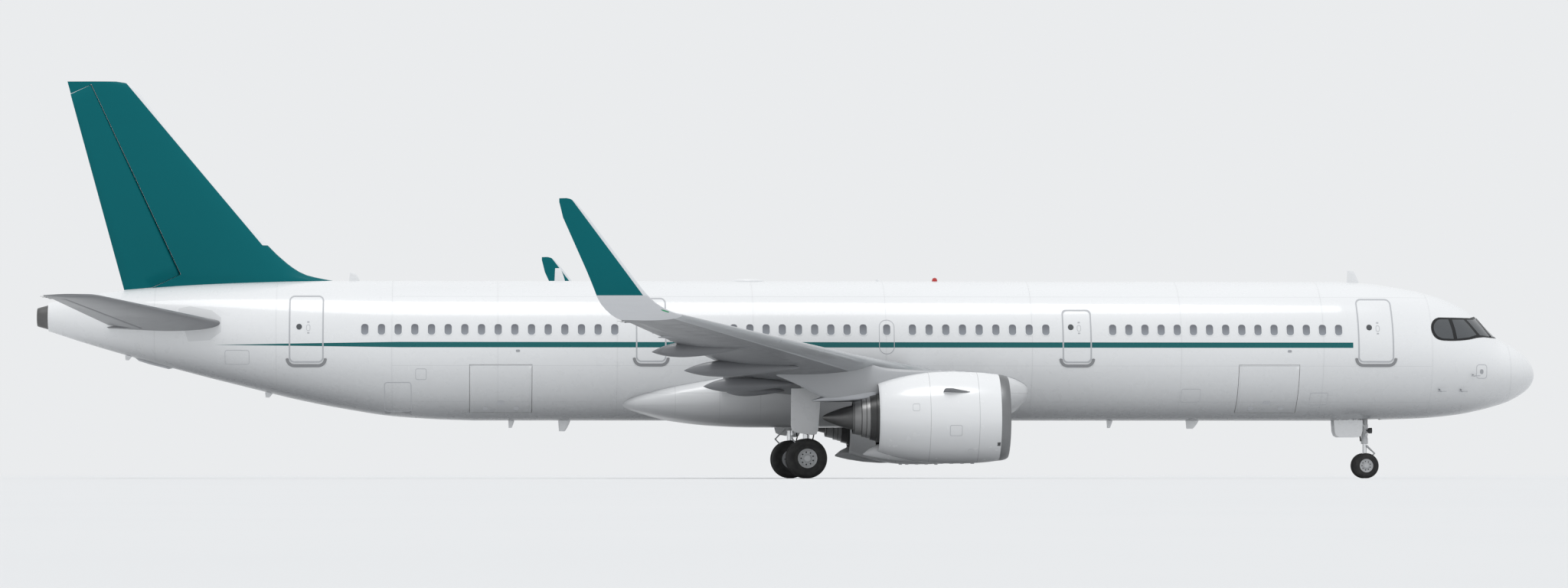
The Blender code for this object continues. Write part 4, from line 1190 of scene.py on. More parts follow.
    def glazing(self) -> None:
        """The cockpit's dark surround with three panes on each side."""
        surround = ((1.0, 4.165), (1.386, 4.163), (1.7, 4.178), (1.932, 4.155), (2.252, 4.09), (2.688, 4.058),
                    (3.093, 4.077), (3.253, 4.155), (3.335, 4.29), (3.36, 4.44), (3.32, 4.59), (3.221, 4.7),
                    (3.093, 4.755), (2.06, 4.752), (1.77, 4.83), (1.0, 4.83))
        surround = (*surround[:3], *curved(surround[3:13], 4), *surround[13:])
        rear = ((3.019, 4.125), (3.168, 4.19), (3.253, 4.31), (3.28, 4.44), (3.237, 4.57), (3.125, 4.675),
                (3.029, 4.7))
        panes = (
            ("front", 0.04, ((1.0, 4.207), (1.42, 4.202), (1.82, 4.235), (2.06, 4.54), (2.193, 4.7), (1.953, 4.705),
                             (1.76, 4.765), (1.0, 4.765))),
            ("middle", 0.3, ((1.932, 4.245), (2.188, 4.165), (2.571, 4.12), (2.608, 4.4), (2.672, 4.695),
                             (2.289, 4.7), (2.166, 4.56))),
            ("rear", 0.3, ((2.678, 4.115), *curved(rear, 4), (2.79, 4.7), (2.715, 4.4))),
        )
        self.glass("cockpit_surround", surround, ((-2.2, 2.2),), 0.007, SURROUND, ("cockpit_glazing",))
        for name, inner, outline in panes:
            self.glass("cockpit_pane_" + name, outline, ((-2.2, -inner), (inner, 2.2)), 0.011, COCKPIT_GLASS, ())
        wipers = Body()
        for side in (-1, 1):
            for x0, z0, x1, z1 in ((1.43, 4.2, 1.72, 4.6), (1.72, 4.6, 1.8, 4.72)):
                path = [skin_point(x0 + (x1 - x0) * k / 4, z0 + (z1 - z0) * k / 4, 0.03, side) for k in range(5)]
                wipers.tube(path, 0.01, 8)
            foot = skin_point(1.43, 4.2, 0.0, side)
            wipers.tube([foot, skin_point(1.43, 4.2, 0.04, side)], 0.022, 12)
        wipers.put("windscreen_wipers", DARK)

    def glass(self, name: str, outline: tuple, spans: tuple, height: float, finish: Finish,
              replaces: tuple[str, ...]) -> None:
        """A thin patch of the skin inside an outline seen from the side."""
        piece = Body()
        for y0, y1 in spans:
            piece.plate(list(outline), y0, y1)
        made = piece.object(name, finish)
        cut(made, Body().loft(self.rings(0.8, 3.8, height)).object("outside", finish), "INTERSECT")
        cut(made, Body().loft(self.rings(0.6, 4.0, -0.03)).object("inside", finish))
        sharpen(made, 30)
        ride(made, finish, *replaces)

    def window_shape(self, width: float, height: float, radius: float, depth: float, hole: float) -> Piece:
        """A cabin window's pane, or its rim where a hole is given, curved as the skin is, round the origin."""
        outline = rounded_outline(-0.5 * width, 0.5 * width, -0.5 * height, 0.5 * height, radius, 5)
        bend = 2.02

        def place(u: float, v: float, out: float) -> Vector:
            """A point of the curved pane. Stations run against the model's X."""
            return Vector((-u, v, math.sqrt(bend ** 2 - v ** 2) - bend + out))

        body = Body()
        if hole:
            rings = []
            for u, v in outline:
                share = (1 - 2 * hole / width, 1 - 2 * hole / height)
                rings.append([place(u, v, -0.006), place(u, v, depth), place(u * share[0], v * share[1], depth),
                              place(u * share[0], v * share[1], -0.006)])
            body.loft(rings, caps=False, closed=True)
        else:
            rows = [[place(u * k, v * k, depth) for u, v in outline] for k in (1.0, 0.66, 0.33)]
            body.loft([[place(u, v, -0.006) for u, v in outline], *rows], caps=True)
        return local(body.object("window_shape"))

    def windows(self) -> None:
        """The cabin windows on both sides, as panes in thin raised rims."""
        places = []
        for start, end, count in self.window_rows:
            for k in range(count):
                x = start + (end - start) * k / max(count - 1, 1)
                for side in (-1, 1):
                    angle = hull_angle(x, self.window_height)
                    along = hull_point(x + 0.1, angle, 0.0, side) - hull_point(x - 0.1, angle, 0.0, side)
                    up = hull_point(x, angle + 2.0, 0.0, side) - hull_point(x, angle - 2.0, 0.0, side)
                    places.append((hull_point(x, angle, 0.0, side), along.cross(up) * -side, UP))
        width, height = self.window_size
        pane = self.window_shape(width, height, 0.088, 0.003, 0.0)
        rim = self.window_shape(width + 0.045, height + 0.045, 0.105, 0.008, 0.024)
        ride(self.repeat.spread("cabin_windows", pane, places, CABIN_GLASS), CABIN_GLASS)
        ride(self.repeat.spread("cabin_window_rims", rim, places, WHITE), WHITE)

    def doors_and_exits(self) -> None:
        """Passenger doors, overwing exits and the bulk door: their edges, sills, windows and handles."""
        lines, sills, glass, rims = Body(), Body(), Body(), Body()
        for side in (-1, 1):
            for door in self.doors:
                skin_frame(lines, door.front, door.rear, door.foot, door.top, 0.12, 0.042, side)
                skin_cup(sills, door.front - 0.046, door.rear + 0.046, door.foot - 0.085, door.foot + 0.045, 0.16,
                         0.088, side)
                x, z = door.window, 4.44
                skin_patch(glass, x - 0.085, x + 0.085, z - 0.085, z + 0.085, 0.085, side, 0.006, 4)
                x = 0.5 * (door.front + door.rear) + (0.06 if door.window < 0.5 * (door.front + door.rear) else -0.06)
                skin_frame(rims, x - 0.045, x + 0.045, 4.33, 4.49, 0.04, 0.012, side)
                skin_patch(rims, x - 0.035, x + 0.035, 4.24, 4.28, 0.018, side, 0.005)
                skin_patch(rims, x - 0.035, x + 0.035, 4.56, 4.6, 0.018, side, 0.005)
            for x in self.exits:
                skin_frame(lines, x - 0.21, x + 0.21, 3.66, 4.64, 0.2, 0.018, side)
        skin_frame(lines, 33.45, 34.21, 1.99, 2.8, 0.07, 0.02, -1)
        skin_patch(sills, 33.44, 34.22, 1.905, 1.975, 0.02, -1)
        lines.put("door_edges", SEAM)
        sills.put("door_sills", SILL)
        glass.put("door_windows", COCKPIT_GLASS)
        rims.put("door_handles", SEAM)

    def panels(self) -> None:
        """Access panels' edges and static port plates on the skin."""
        edges, plates = Body(), Body()
        rows = ((6.42, 6.93, 2.17, 2.51, 0.04, 0.012), (10.2, 10.75, 2.25, 2.62, 0.05, 0.012),
                (33.0, 33.3, 2.9, 3.2, 0.04, 0.012), (38.2, 38.9, 3.35, 3.75, 0.06, 0.012),
                (1.67, 1.98, 2.96, 3.35, 0.08, 0.014))
        for side in (-1, 1):
            for row in rows:
                skin_frame(edges, *row, side)
            skin_patch(plates, 1.77, 1.88, 3.08, 3.22, 0.05, side, 0.003)
            for x in (7.61, 30.31):
                skin_patch(plates, x - 0.06, x + 0.06, 3.7, 3.77, 0.03, side, 0.006)
        skin_frame(edges, 35.1, 35.5, 2.75, 3.0, 0.05, 0.012, 1)
        edges.put("access_panel_edges", SEAM)
        plates.put("static_port_plates", STEEL)

    def fin_blade(self, x0: float, x1: float, height: float, thick: float, top: bool, lean: float = 0.45) -> Body:
        """A blade antenna or mast on the crown or keel."""
        rings = []
        for share in (-0.12, 0.0, 0.35, 0.7, 0.92, 1.0):
            front = x0 + lean * (x1 - x0) * max(share, 0.0) ** 1.3
            rear = x1 - 0.06 * (x1 - x0) * max(share, 0.0)
            slim = thick * (1.0 - 0.45 * max(share, 0.0)) * (0.35 if share == 1.0 else 1.0)
            _, bottom, crown, _ = hull_row(0.5 * (x0 + x1))
            z = crown + share * height if top else bottom - share * height
            rings.append([(front + a * (rear - front), slim * t, z) for a, t in AIRFOIL[::2]]
                         + [(front + a * (rear - front), -slim * t, z) for a, t in AIRFOIL[-3:0:-2]])
        return Body().loft(rings)

    def antennas(self) -> None:
        """Blade antennas, the aerial fairing on the crown, drain masts, probes and the tail skid."""
        rows = (
            ("blade_crown_front", 5.22, 5.58, 0.36, 0.035, True),
            ("blade_crown_rear", 28.9, 29.21, 0.38, 0.035, True), ("blade_crown_tail", 34.98, 35.3, 0.24, 0.03, True),
            ("blade_crown_middle", 19.5, 19.66, 0.06, 0.05, True),
            ("blade_keel_front", 10.03, 10.42, 0.24, 0.035, False),
            ("blade_keel_rear", 28.74, 29.1, 0.32, 0.035, False),
            ("drain_mast_front", 12.6, 12.78, 0.22, 0.02, False), ("drain_mast_rear", 30.4, 30.58, 0.22, 0.02, False),
            ("drain_mast_tail", 37.55, 37.78, 0.14, 0.02, False),
            ("drain_mast_last", 41.72, 41.92, 0.13, 0.02, False),
        )
        for name, *sizes in rows:
            self.fin_blade(*sizes).put(name, WHITE)
        rings = []
        for share, size in ((0.0, 0.04), (0.03, 0.3), (0.1, 0.62), (0.25, 0.92), (0.5, 1.0), (0.72, 0.86), (0.9, 0.5),
                            (1.0, 0.05)):
            x, half = 22.96 + share * 1.02, 0.36 * size
            turns = [pi * k / 16 for k in range(17)]
            rings.append([(x, half * cos(t), 5.855 + 0.075 * size * sin(t)) for t in turns]
                         + [(x, -half, 5.8), (x, half, 5.8)])
        Body().loft(rings).put("aerial_fairing", WHITE)
        probes = Body()
        for side in (-1, 1):
            for x, z in ((2.1, 3.05), (2.45, 2.62), (3.1, 2.62)):
                base = skin_point(x, z, 0.0, side)
                out = (skin_point(x, z, 1.0, side) - base).normalized()
                foot, elbow = base - 0.03 * out, base + 0.1 * out
                probes.tube([foot, elbow, elbow + Vector((-0.05, 0, 0)) + 0.02 * out], [0.03, 0.018, 0.016], 10)
                probes.tube([elbow + Vector((0.06, 0, 0)), elbow + Vector((-0.2, 0, 0))], [0.014, 0.008], 10)
        probes.put("air_data_probes", STEEL)
        path = [(40.5, 0, 3.29), (40.62, 0, 3.285), (41.2, 0, 3.435), (41.5, 0, 3.52), (41.62, 0, 3.6)]
        Body().tube(path, [0.03, 0.055, 0.06, 0.05, 0.03], 16).put("tail_skid_fairing", SEAM)

    def lights(self) -> None:
        """Beacons on crown and keel."""
        lamps = Body()
        for x, z, way in ((17.9, 5.853, 1), (17.1, 1.6, -1)):
            profile = [(-0.03, 0.0), (-0.03, 0.085), (0.0, 0.085), (0.05, 0.078), (0.095, 0.055), (0.118, 0.0)]
            lamps.turned([(way * a, r) for a, r in profile], (x, 0.0, z), "z", 32)
        lamps.put("beacons", RED_LENS)

    def exhaust(self) -> None:
        """The auxiliary power unit's exhaust ring with its dark inside."""
        profile = [(44.1806, 0.0), (44.1806, 0.362), (44.26, 0.338), (44.36, 0.312), (44.44, 0.29), (44.505, 0.268),
                   (44.51, 0.262), (44.51, 0.248), (44.5, 0.242), (44.42, 0.244), (44.25, 0.25), (44.22, 0.2),
                   (44.21, 0.0)]
        Body().turned(profile, (0.0, 0.0, 4.76), "x", 96).put("tail_exhaust_ring", EXHAUST, "apu_exhaust")

    def build(self) -> None:
        """Builds everything on the fuselage."""
        self.skins()
        self.cargo_doors()
        self.bay_fittings()
        self.glazing()
        self.windows()
        self.doors_and_exits()
        self.panels()
        self.antennas()
        self.lights()
        self.exhaust()


def curved(points: list[tuple[float, float]], steps: int = 5) -> list[tuple[float, float]]:
    """A round curve through a profile's points.

    Args:
        points: The points.
        steps: Its parts between two points.

    Returns:
        The finer profile, with the same ends.
    """
    out = []
    for i in range(len(points) - 1):
        p0, p1 = Vector(points[max(i - 1, 0)]), Vector(points[i])
        p2, p3 = Vector(points[i + 1]), Vector(points[min(i + 2, len(points) - 1)])
        span = (p2 - p1).length
        m1 = (p2 - p0).normalized() * span
        m2 = (p3 - p1).normalized() * span
        for k in range(steps):
            h0, h1, g0, g1 = cubic(k / steps)
            out.append(tuple(h0 * p1 + h1 * p2 + g0 * m1 + g1 * m2))
    return [*out, tuple(points[-1])]


def section(leading: Vector, chord: float, half_thick: float, along: Vector, normal: Vector,
            camber: float = 0.0) -> list[Vector]:
    """A closed airfoil section.

    Args:
        leading: Its leading edge.
        chord: Its length.
        half_thick: Its greatest half thickness.
        along: The way from its leading to its trailing edge.
        normal: The way of its thickness.
        camber: How far its middle line rises, as a share of its chord.

    Returns:
        Its points, over the top and back under it.
    """
    def point(share: float, thick: float) -> Vector:
        """A point of the section."""
        bow = camber * 4 * share * (1 - share)
        return leading + chord * share * along + (half_thick * thick + chord * bow) * normal

    upper = [point(x, t) for x, t in AIRFOIL]
    return upper + [point(x, -t) for x, t in reversed(AIRFOIL[1:])]


def hinge_axes(start: Vector, end: Vector, lift: Vector) -> tuple[Vector, Vector, Vector]:
    """A hinge line's own direction, its surface's normal, and the way back from it."""
    axis = (end - start).normalized()
    normal = (lift - axis * axis.dot(lift)).normalized()
    back = axis.cross(normal)
    return axis, normal, back if back.x > 0 else -back


def surface_rings(ends: tuple[Vector, Vector], chords: tuple[float, float], radii: tuple[float, float],
                  normal: Vector, back: Vector, taper: list[tuple[float, float]], skin: float, rear: float,
                  steps: int) -> list[list[Vector]]:
    """The rings of a hinged surface with a round nose about its hinge line, thin at the rear edge.

    Args:
        ends: The hinge line's ends.
        chords: The length behind the hinge at each end.
        radii: The nose's radius at each end.
        normal: The way of its thickness.
        back: The way aft, square to the hinge line.
        taper: Shares of the chord and of the nose's radius there.
        skin: What is added to half the thickness behind the nose.
        rear: Half the thickness of the rear edge.
        steps: The parts between its ends.

    Returns:
        The rings.
    """
    rings = []
    for k in range(steps + 1):
        part = k / steps
        centre = ends[0].lerp(ends[1], part)
        chord = chords[0] + (chords[1] - chords[0]) * part
        radius = radii[0] + (radii[1] - radii[0]) * part
        ring = [centre + radius * (cos(t) * back + sin(t) * normal)
                for t in (pi * (0.5 + i / 12) for i in range(13))]
        ring += [centre + chord * s * back - (radius * h + skin) * normal for s, h in taper]
        ring += [centre + chord * back - rear * normal, centre + chord * back + rear * normal]
        ring += [centre + chord * s * back + (radius * h + skin) * normal for s, h in reversed(taper)]
        rings.append(ring)
    return rings


def discharger(length: float, radius: float) -> Piece:
    """A static discharger's rod with its thick foot, along +Z from the origin, for Repeat."""
    path = [(0.0, 0, 0), (0.03, 0, 0), (0.06, 0, 0), (length, 0, 0)]
    rod = local(Body().tube(path, [radius, radius, 0.005, 0.003], 8).object("discharger"))
    rod.data.transform(Matrix.Rotation(radians(90.0), 4, "Y"))
    return rod


def squared_ring(x: float, y: float, half: float, low: float, high: float, across: float = 1.0, up: float = 1.0,
                 sides: int = 96) -> list[Vector]:
    """A ring square to x, between two heights, squarer where its powers across and up are below 1."""
    middle, rise = 0.5 * (low + high), 0.5 * (high - low)
    ring = []
    for k in range(sides):
        c, s = cos(tau * k / sides), sin(tau * k / sides)
        ring.append(Vector((x, y + half * math.copysign(abs(c) ** across, c),
                            middle + rise * math.copysign(abs(s) ** up, s))))
    return ring


@dataclass
class Sided:
    """A sub-assembly that stands once on each side."""

    side: Side

    def name(self, stem: str) -> str:
        """A piece's name with its side's letter."""
        return f"{stem}_{self.side.letter}"


@dataclass(frozen=True)
class NacellePaint(Paint):
    """White cowl paint with the joints between inlet, fan cowls and reverser, and painted shade towards the keel."""

    joints: tuple[float, ...] = (17.25, 18.64)

    def colouring(self, box: Paintbox) -> Socket:
        """White with joints round the cowl and painted shade towards its keel."""
        base = super().colouring(box)
        # Painted shade: the cowl's lower part darkens to grey towards its keel.
        low = 1.0 - box.z.above(0.62, 0.9)
        base = box.mix(low * low * 0.9, base, (0.26, 0.265, 0.275))
        seams = reduce(add, (box.x.line(model_x(x), 0.007, 0.003) for x in self.joints))
        split = box.y.run("ABSOLUTE").line(2.875, 0.006, 0.003) * (1.0 - box.z.above(0.8, 0.01))
        latch = box.x.between(model_x(self.joints[1]), model_x(self.joints[0]), 0.01)
        return box.mix((seams + split * latch) * 0.5, base, (0.16, 0.165, 0.17))


COWL = NacellePaint("nacelle_paint", (0.8, 0.81, 0.82), "white_paint", roughness=0.26)
LINER_DUCT = Metal("inlet_liner", (0.4, 0.41, 0.42), "bare_aluminium", 0.42)


@dataclass
class Engine(Sided):
    """One engine: lip, cowls, fan, guide vanes, core, plug, strakes, lower fairing, vents and its pylon."""

    repeat: Repeat
    y: float = 5.75
    z: float = 1.74
    blades: int = 18
    vanes: int = 40
    lip_profile: tuple = (
        (16.62, 1.235), (16.55, 1.227), (16.46, 1.209), (16.385, 1.18), (16.345, 1.145), (16.36, 1.105),
        (16.42, 1.07), (16.5, 1.04), (16.62, 1.02))
    cowl_profile: tuple = (
        (16.6206, 1.235), (16.8, 1.259), (17.0, 1.281), (17.3, 1.302), (17.6, 1.312), (18.0, 1.315), (18.3, 1.309),
        (18.65, 1.288), (18.95, 1.252), (19.25, 1.202), (19.55, 1.136), (19.82, 1.062), (20.06, 0.985))
    duct_profile: tuple = (
        (20.06, 0.97), (19.8, 1.012), (19.5, 1.05), (19.15, 1.074), (18.8, 1.085), (18.3, 1.075), (17.8, 1.05),
        (17.46, 1.018), (17.1, 1.012), (16.8, 1.014), (16.6206, 1.02))
    core_profile: tuple = (
        (17.62, 0.46), (17.75, 0.53), (17.9, 0.6), (18.25, 0.71), (18.6, 0.78), (18.95, 0.815), (19.3, 0.82),
        (19.7, 0.785), (20.06, 0.715))
    rings_profile: tuple = (
        (20.12, 0.7), (20.13, 0.672), (20.3, 0.632), (20.305, 0.6), (20.4, 0.582), (20.405, 0.57), (20.54, 0.548),
        (20.545, 0.515), (20.78, 0.463))
    plug_profile: tuple = (
        (20.4506, 0.375), (20.62, 0.368), (20.8, 0.345), (20.98, 0.303), (21.15, 0.25), (21.32, 0.19), (21.48, 0.125),
        (21.6, 0.06), (21.65, 0.0))
    pylon_rows: tuple = (
        (17.62, 2.9, 3.045, 0.015), (17.75, 2.86, 3.052, 0.05), (18.0, 2.8, 3.062, 0.09), (18.4, 2.7, 3.075, 0.13),
        (18.9, 2.55, 3.095, 0.165), (19.4, 2.44, 3.12, 0.185), (19.9, 2.36, 3.17, 0.19), (20.2, 2.3, 3.25, 0.19),
        (20.5, 2.24, 3.36, 0.19), (21.0, 2.22, 3.36, 0.18), (21.4, 2.26, 3.3, 0.165), (21.8, 2.38, 3.24, 0.145),
        (22.2, 2.6, 3.18, 0.115), (22.7, 2.83, 3.1, 0.065), (22.95, 2.93, 3.05, 0.015))
    shield_rows: tuple = (
        (19.9, 2.25, 2.6, 0.17), (20.3, 2.21, 2.58, 0.175), (20.8, 2.19, 2.5, 0.16), (21.3, 2.18, 2.42, 0.12),
        (21.7, 2.19, 2.32, 0.06), (21.95, 2.205, 2.235, 0.012))

    @property
    def centre(self) -> Point:
        """A point of the engine's axis."""
        return (0.0, self.side.sign * self.y, self.z)

    def turned(self, stem: str, profile: list, finish: Finish, node: str = "", body: str = "airframe") -> None:
        """A turned piece on the engine's axis."""
        made = Body().turned(profile, self.centre, "x", 128)
        made.put(self.name(stem), finish, self.name(node) if node else "", body=body, sharp=40.0)

    def shells(self) -> None:
        """The lip, the cowl's outer skin and its duct."""
        lip = curved(list(self.lip_profile), 4)
        self.turned("lip", lip, POLISHED, "inlet_lip")
        outer = curved(list(self.cowl_profile), 3)
        ring = [*outer, (20.065, 0.978), (20.0, 0.986), (19.0, 1.12), (17.5, 1.18), (16.6206, 1.15)]
        self.turned("cowl", ring, COWL, "nacelle_cowl")
        duct = curved(list(self.duct_profile), 3)
        self.turned("duct", [*duct, (16.6206, 1.1), (17.5, 1.12), (19.0, 1.1), (20.05, 0.975)], LINER_DUCT)

    def core(self) -> None:
        """The core's cowl with its nozzle lip, the plug and the struts to the duct."""
        outer = curved(list(self.core_profile), 4)
        ring = [(17.62, 0.0), *outer, *self.rings_profile, (20.785, 0.455), (20.78, 0.445), (20.6, 0.452),
                (20.45, 0.455), (20.45, 0.0)]
        self.turned("core", ring, NOZZLE, "engine_core")
        plug = curved(list(self.plug_profile), 4)
        self.turned("plug", [(20.4506, 0.0), *plug], EXHAUST, "exhaust_plug")
        struts = Body()
        for way in (-1, 1):
            rings = []
            for radius in (0.5, 1.09):
                z = self.z + way * radius
                leading = Vector((18.0, self.side.sign * self.y, z))
                rings.append(section(leading, 1.95, 0.1, AFT, PORT))
            struts.loft(rings)
        struts.put(self.name("duct_struts"), LINER_DUCT)

    def fan(self) -> None:
        """The fan's swept, twisted blades, its spinner, and the guide vanes behind it."""
        body = self.name("fan")
        rings = []
        for k in range(9):
            share = k / 8
            radius = 0.24 + (0.985 - 0.24) * share
            pitch = radians(20.0 + 42.0 * share)
            chord = 0.26 + 0.08 * share + 0.05 * sin(pi * share)
            sweep = 0.06 * sin(pi * share) - 0.05 * share ** 2
            out, across = UP, PORT
            along = Vector((cos(pitch), 0, 0)) + sin(pitch) * across
            thick = Vector((-sin(pitch), 0, 0)) + cos(pitch) * across
            leading = Vector((0.0, 0, 0)) + radius * out - 0.5 * chord * along + Vector((-sweep, 0, 0))
            points = section(leading, chord, 0.02 - 0.011 * share, along, thick, 0.05 - 0.02 * share)
            rings.append(points[::2])
        blade = local(Body().loft(rings).object("blade"))
        x = 17.31
        ring = self.repeat.around(self.name("fan_blades"), blade, (x, *self.centre[1:]), self.blades, BLADE)
        ride(ring, BLADE, body, body=body)
        spinner = curved([(16.83, 0.0), (16.86, 0.045), (16.93, 0.11), (17.03, 0.19), (17.16, 0.265), (17.32, 0.318),
                          (17.5, 0.335)], 4)
        self.turned("spinner", [*spinner, (17.5, 0.0)], SPINNER, body=body)
        case = [(17.55, 0.46), (17.55, 0.4), (17.56, 0.0), (17.62, 0.0), (17.62, 0.46)]
        self.turned("core_splitter", curved(case[:2], 1) + case[2:], LINER_DUCT)
        vane = []
        for k in range(3):
            radius = 0.44 + 0.31 * k
            leading = Vector((0.0, 0.0, radius))
            vane.append(section(leading, 0.24, 0.012, Vector((0.98, 0.17, 0)), Vector((-0.17, 0.98, 0)), 0.05)[::3])
        shape = local(Body().loft(vane).object("vane"))
        vanes = self.repeat.around(self.name("guide_vanes"), shape, (17.72, *self.centre[1:]), self.vanes, LINER_DUCT)
        ride(vanes, LINER_DUCT)

    def fittings(self) -> None:
        """The strakes, the lower fairing, the vents, and the service doors' edges and latches."""
        sign = self.side.sign
        strakes = Body()
        for way in (-1, 1):
            turn = radians(33.0)
            out = Vector((0, way * cos(turn), sin(turn)))
            rings = []
            for share, front, rear, thick in ((-0.05, 17.46, 18.28, 0.03), (0.3, 17.62, 18.27, 0.022),
                                              (0.7, 17.86, 18.25, 0.015), (1.0, 18.02, 18.22, 0.006)):
                base = Vector((front, sign * self.y, self.z)) + (1.3 + 0.2 * share) * out
                side_way = Vector((0, -out.z, out.y))
                rings.append(section(base, rear - front, thick, AFT, side_way)[::2])
            strakes.loft(rings)
        strakes.put(self.name("strakes"), STRAKE_SHADE)
        beak = []
        for x, low, high, half in ((18.7, 0.475, 0.6, 0.02), (19.1, 0.47, 0.72, 0.1), (19.6, 0.505, 0.95, 0.14),
                                   (20.06, 0.575, 0.98, 0.13), (20.3, 0.63, 0.86, 0.09), (20.47, 0.675, 0.72, 0.015)):
            beak.append(squared_ring(x, sign * self.y, half, low, high, sides=24))
        Body().loft(beak).put(self.name("lower_fairing"), COWL)
        # Dark patches stand for the vents' openings: painted shade.
        dark = Body()
        for turn_deg in (-38.0, -142.0):
            turn = radians(turn_deg)
            out = Vector((0, cos(turn), sin(turn)))
            side_way = Vector((0, -out.z, out.y))
            centre = Vector((16.69, sign * self.y, self.z)) + 1.245 * out
            corners = ((-0.05, -0.06), (0.05, -0.06), (0.05, 0.06), (-0.05, 0.06))
            dark.loft([[centre + Vector((u, 0, 0)) + v * side_way + h * out for u, v in corners]
                       for h in (-0.02, 0.004)])
        dark.put(self.name("cowl_vents"), DARK)
        frames = Body()
        for row in ((17.75, 18.1, -24.0, -10.0), (18.95, 19.15, 8.0, 18.0), (17.4, 17.55, -52.0, -44.0)):
            self.cowl_frame(frames, *row)
        frames.put(self.name("cowl_doors"), SEAM)
        latches = Body()
        for x in (17.35, 17.65, 17.95, 18.25, 18.45):
            latches.box((x - 0.05, sign * self.y - 0.03, 0.418), (x + 0.05, sign * self.y + 0.03, 0.46))
        latches.put(self.name("cowl_latches"), SEAM)

    def cowl_frame(self, body: Body, x0: float, x1: float, low: float, high: float) -> None:
        """Adds a thin raised line round a service door on the cowl's outer side, between two angles."""
        curve = Smooth(self.cowl_profile)
        outline = rounded_outline(x0, x1, 0.0, radians(high - low) * 1.3, 0.05)
        middle = (0.5 * (x0 + x1), 0.5 * radians(high - low) * 1.3)
        rings = []
        for x, rise in outline:
            ring = []
            for share, height in ((1.0, 0.004), (0.93, 0.004), (0.93, -0.01), (1.0, -0.01)):
                px, pr = middle[0] + share * (x - middle[0]), middle[1] + share * (rise - middle[1])
                turn = radians(low) + pr / 1.3
                radius = curve(px)[0] + height
                ring.append(Vector((px, self.side.sign * (self.y + radius * cos(turn)),
                                    self.z + radius * sin(turn))))
            rings.append(ring)
        body.loft(rings, closed=True, caps=False)

    def pylon(self) -> None:
        """The pylon as one smooth fairing from the cowl to behind the wing's leading edge, and its heat shield."""
        for stem, rows, finish, node in (("pylon_fairing", self.pylon_rows, PYLON_SHADE, "pylon"),
                                         ("pylon_heat_shield", self.shield_rows, STEEL, "")):
            self.spindle(stem, rows, finish, node)

    def spindle(self, stem: str, rows: tuple, finish: Finish, node: str) -> None:
        """A smooth body along x from rows of station, foot, top and half width."""
        rings = []
        curve = Smooth(rows)
        for x in (rows[0][0] + (rows[-1][0] - rows[0][0]) * k / 60 for k in range(61)):
            low, high, half = curve(x)
            rings.append(squared_ring(x, self.side.sign * self.y, half, low, high, 0.55, 0.7, 40))
        Body().loft(rings).put(self.name(stem), finish, self.name(node) if node else "")

    def build(self) -> None:
        """Builds the engine."""
        self.shells()
        self.core()
        self.fan()
        self.fittings()
        self.pylon()


WING_ROWS = (
    (1.0, 17.46, 2.87, 6.95, 0.15, 0.05), (2.2, 18.13, 2.98, 6.24, 0.148, 0.055),
    (4.3, 19.31, 3.18, 5.09, 0.132, 0.06), (6.4, 20.49, 3.38, 3.94, 0.12, 0.062),
    (11.4, 23.29, 3.85, 2.78, 0.112, 0.068), (16.4, 26.09, 4.32, 1.62, 0.108, 0.075))


@dataclass(frozen=True)
class SharkletPaint(Paint):
    """Teal above the wing's tip, with a pale strip along the leading edge and a grey foot."""

    foot: tuple[float, float] = (27.22, 5.02)
    head: tuple[float, float] = (28.8, 7.12)
    strip: float = 0.09
    turn_height: float = 4.81
    edge_colour: Colour = (0.72, 0.74, 0.76)
    wing_colour: Colour = (0.62, 0.63, 0.65)

    def colouring(self, box: Paintbox) -> Socket:
        """Teal, the strip ahead of its line, and the foot in the wing's grey."""
        base = super().colouring(box)
        slope = (self.head[0] - self.foot[0]) / (self.head[1] - self.foot[1])
        line = box.x + (box.z - self.foot[1] * SCALE) * slope
        ahead = line.above(model_x(self.foot[0] + self.strip), 0.004)
        base = box.mix(ahead, base, self.edge_colour)
        low = 1.0 - box.z.above(self.turn_height * SCALE, 0.004)
        return box.mix(low, base, self.wing_colour)


SHARKLET = SharkletPaint("sharklet_paint", (0.0, 0.124, 0.142), "teal_paint", roughness=0.46, coat=0.03, shine=0.1,
                         grime=0.02)


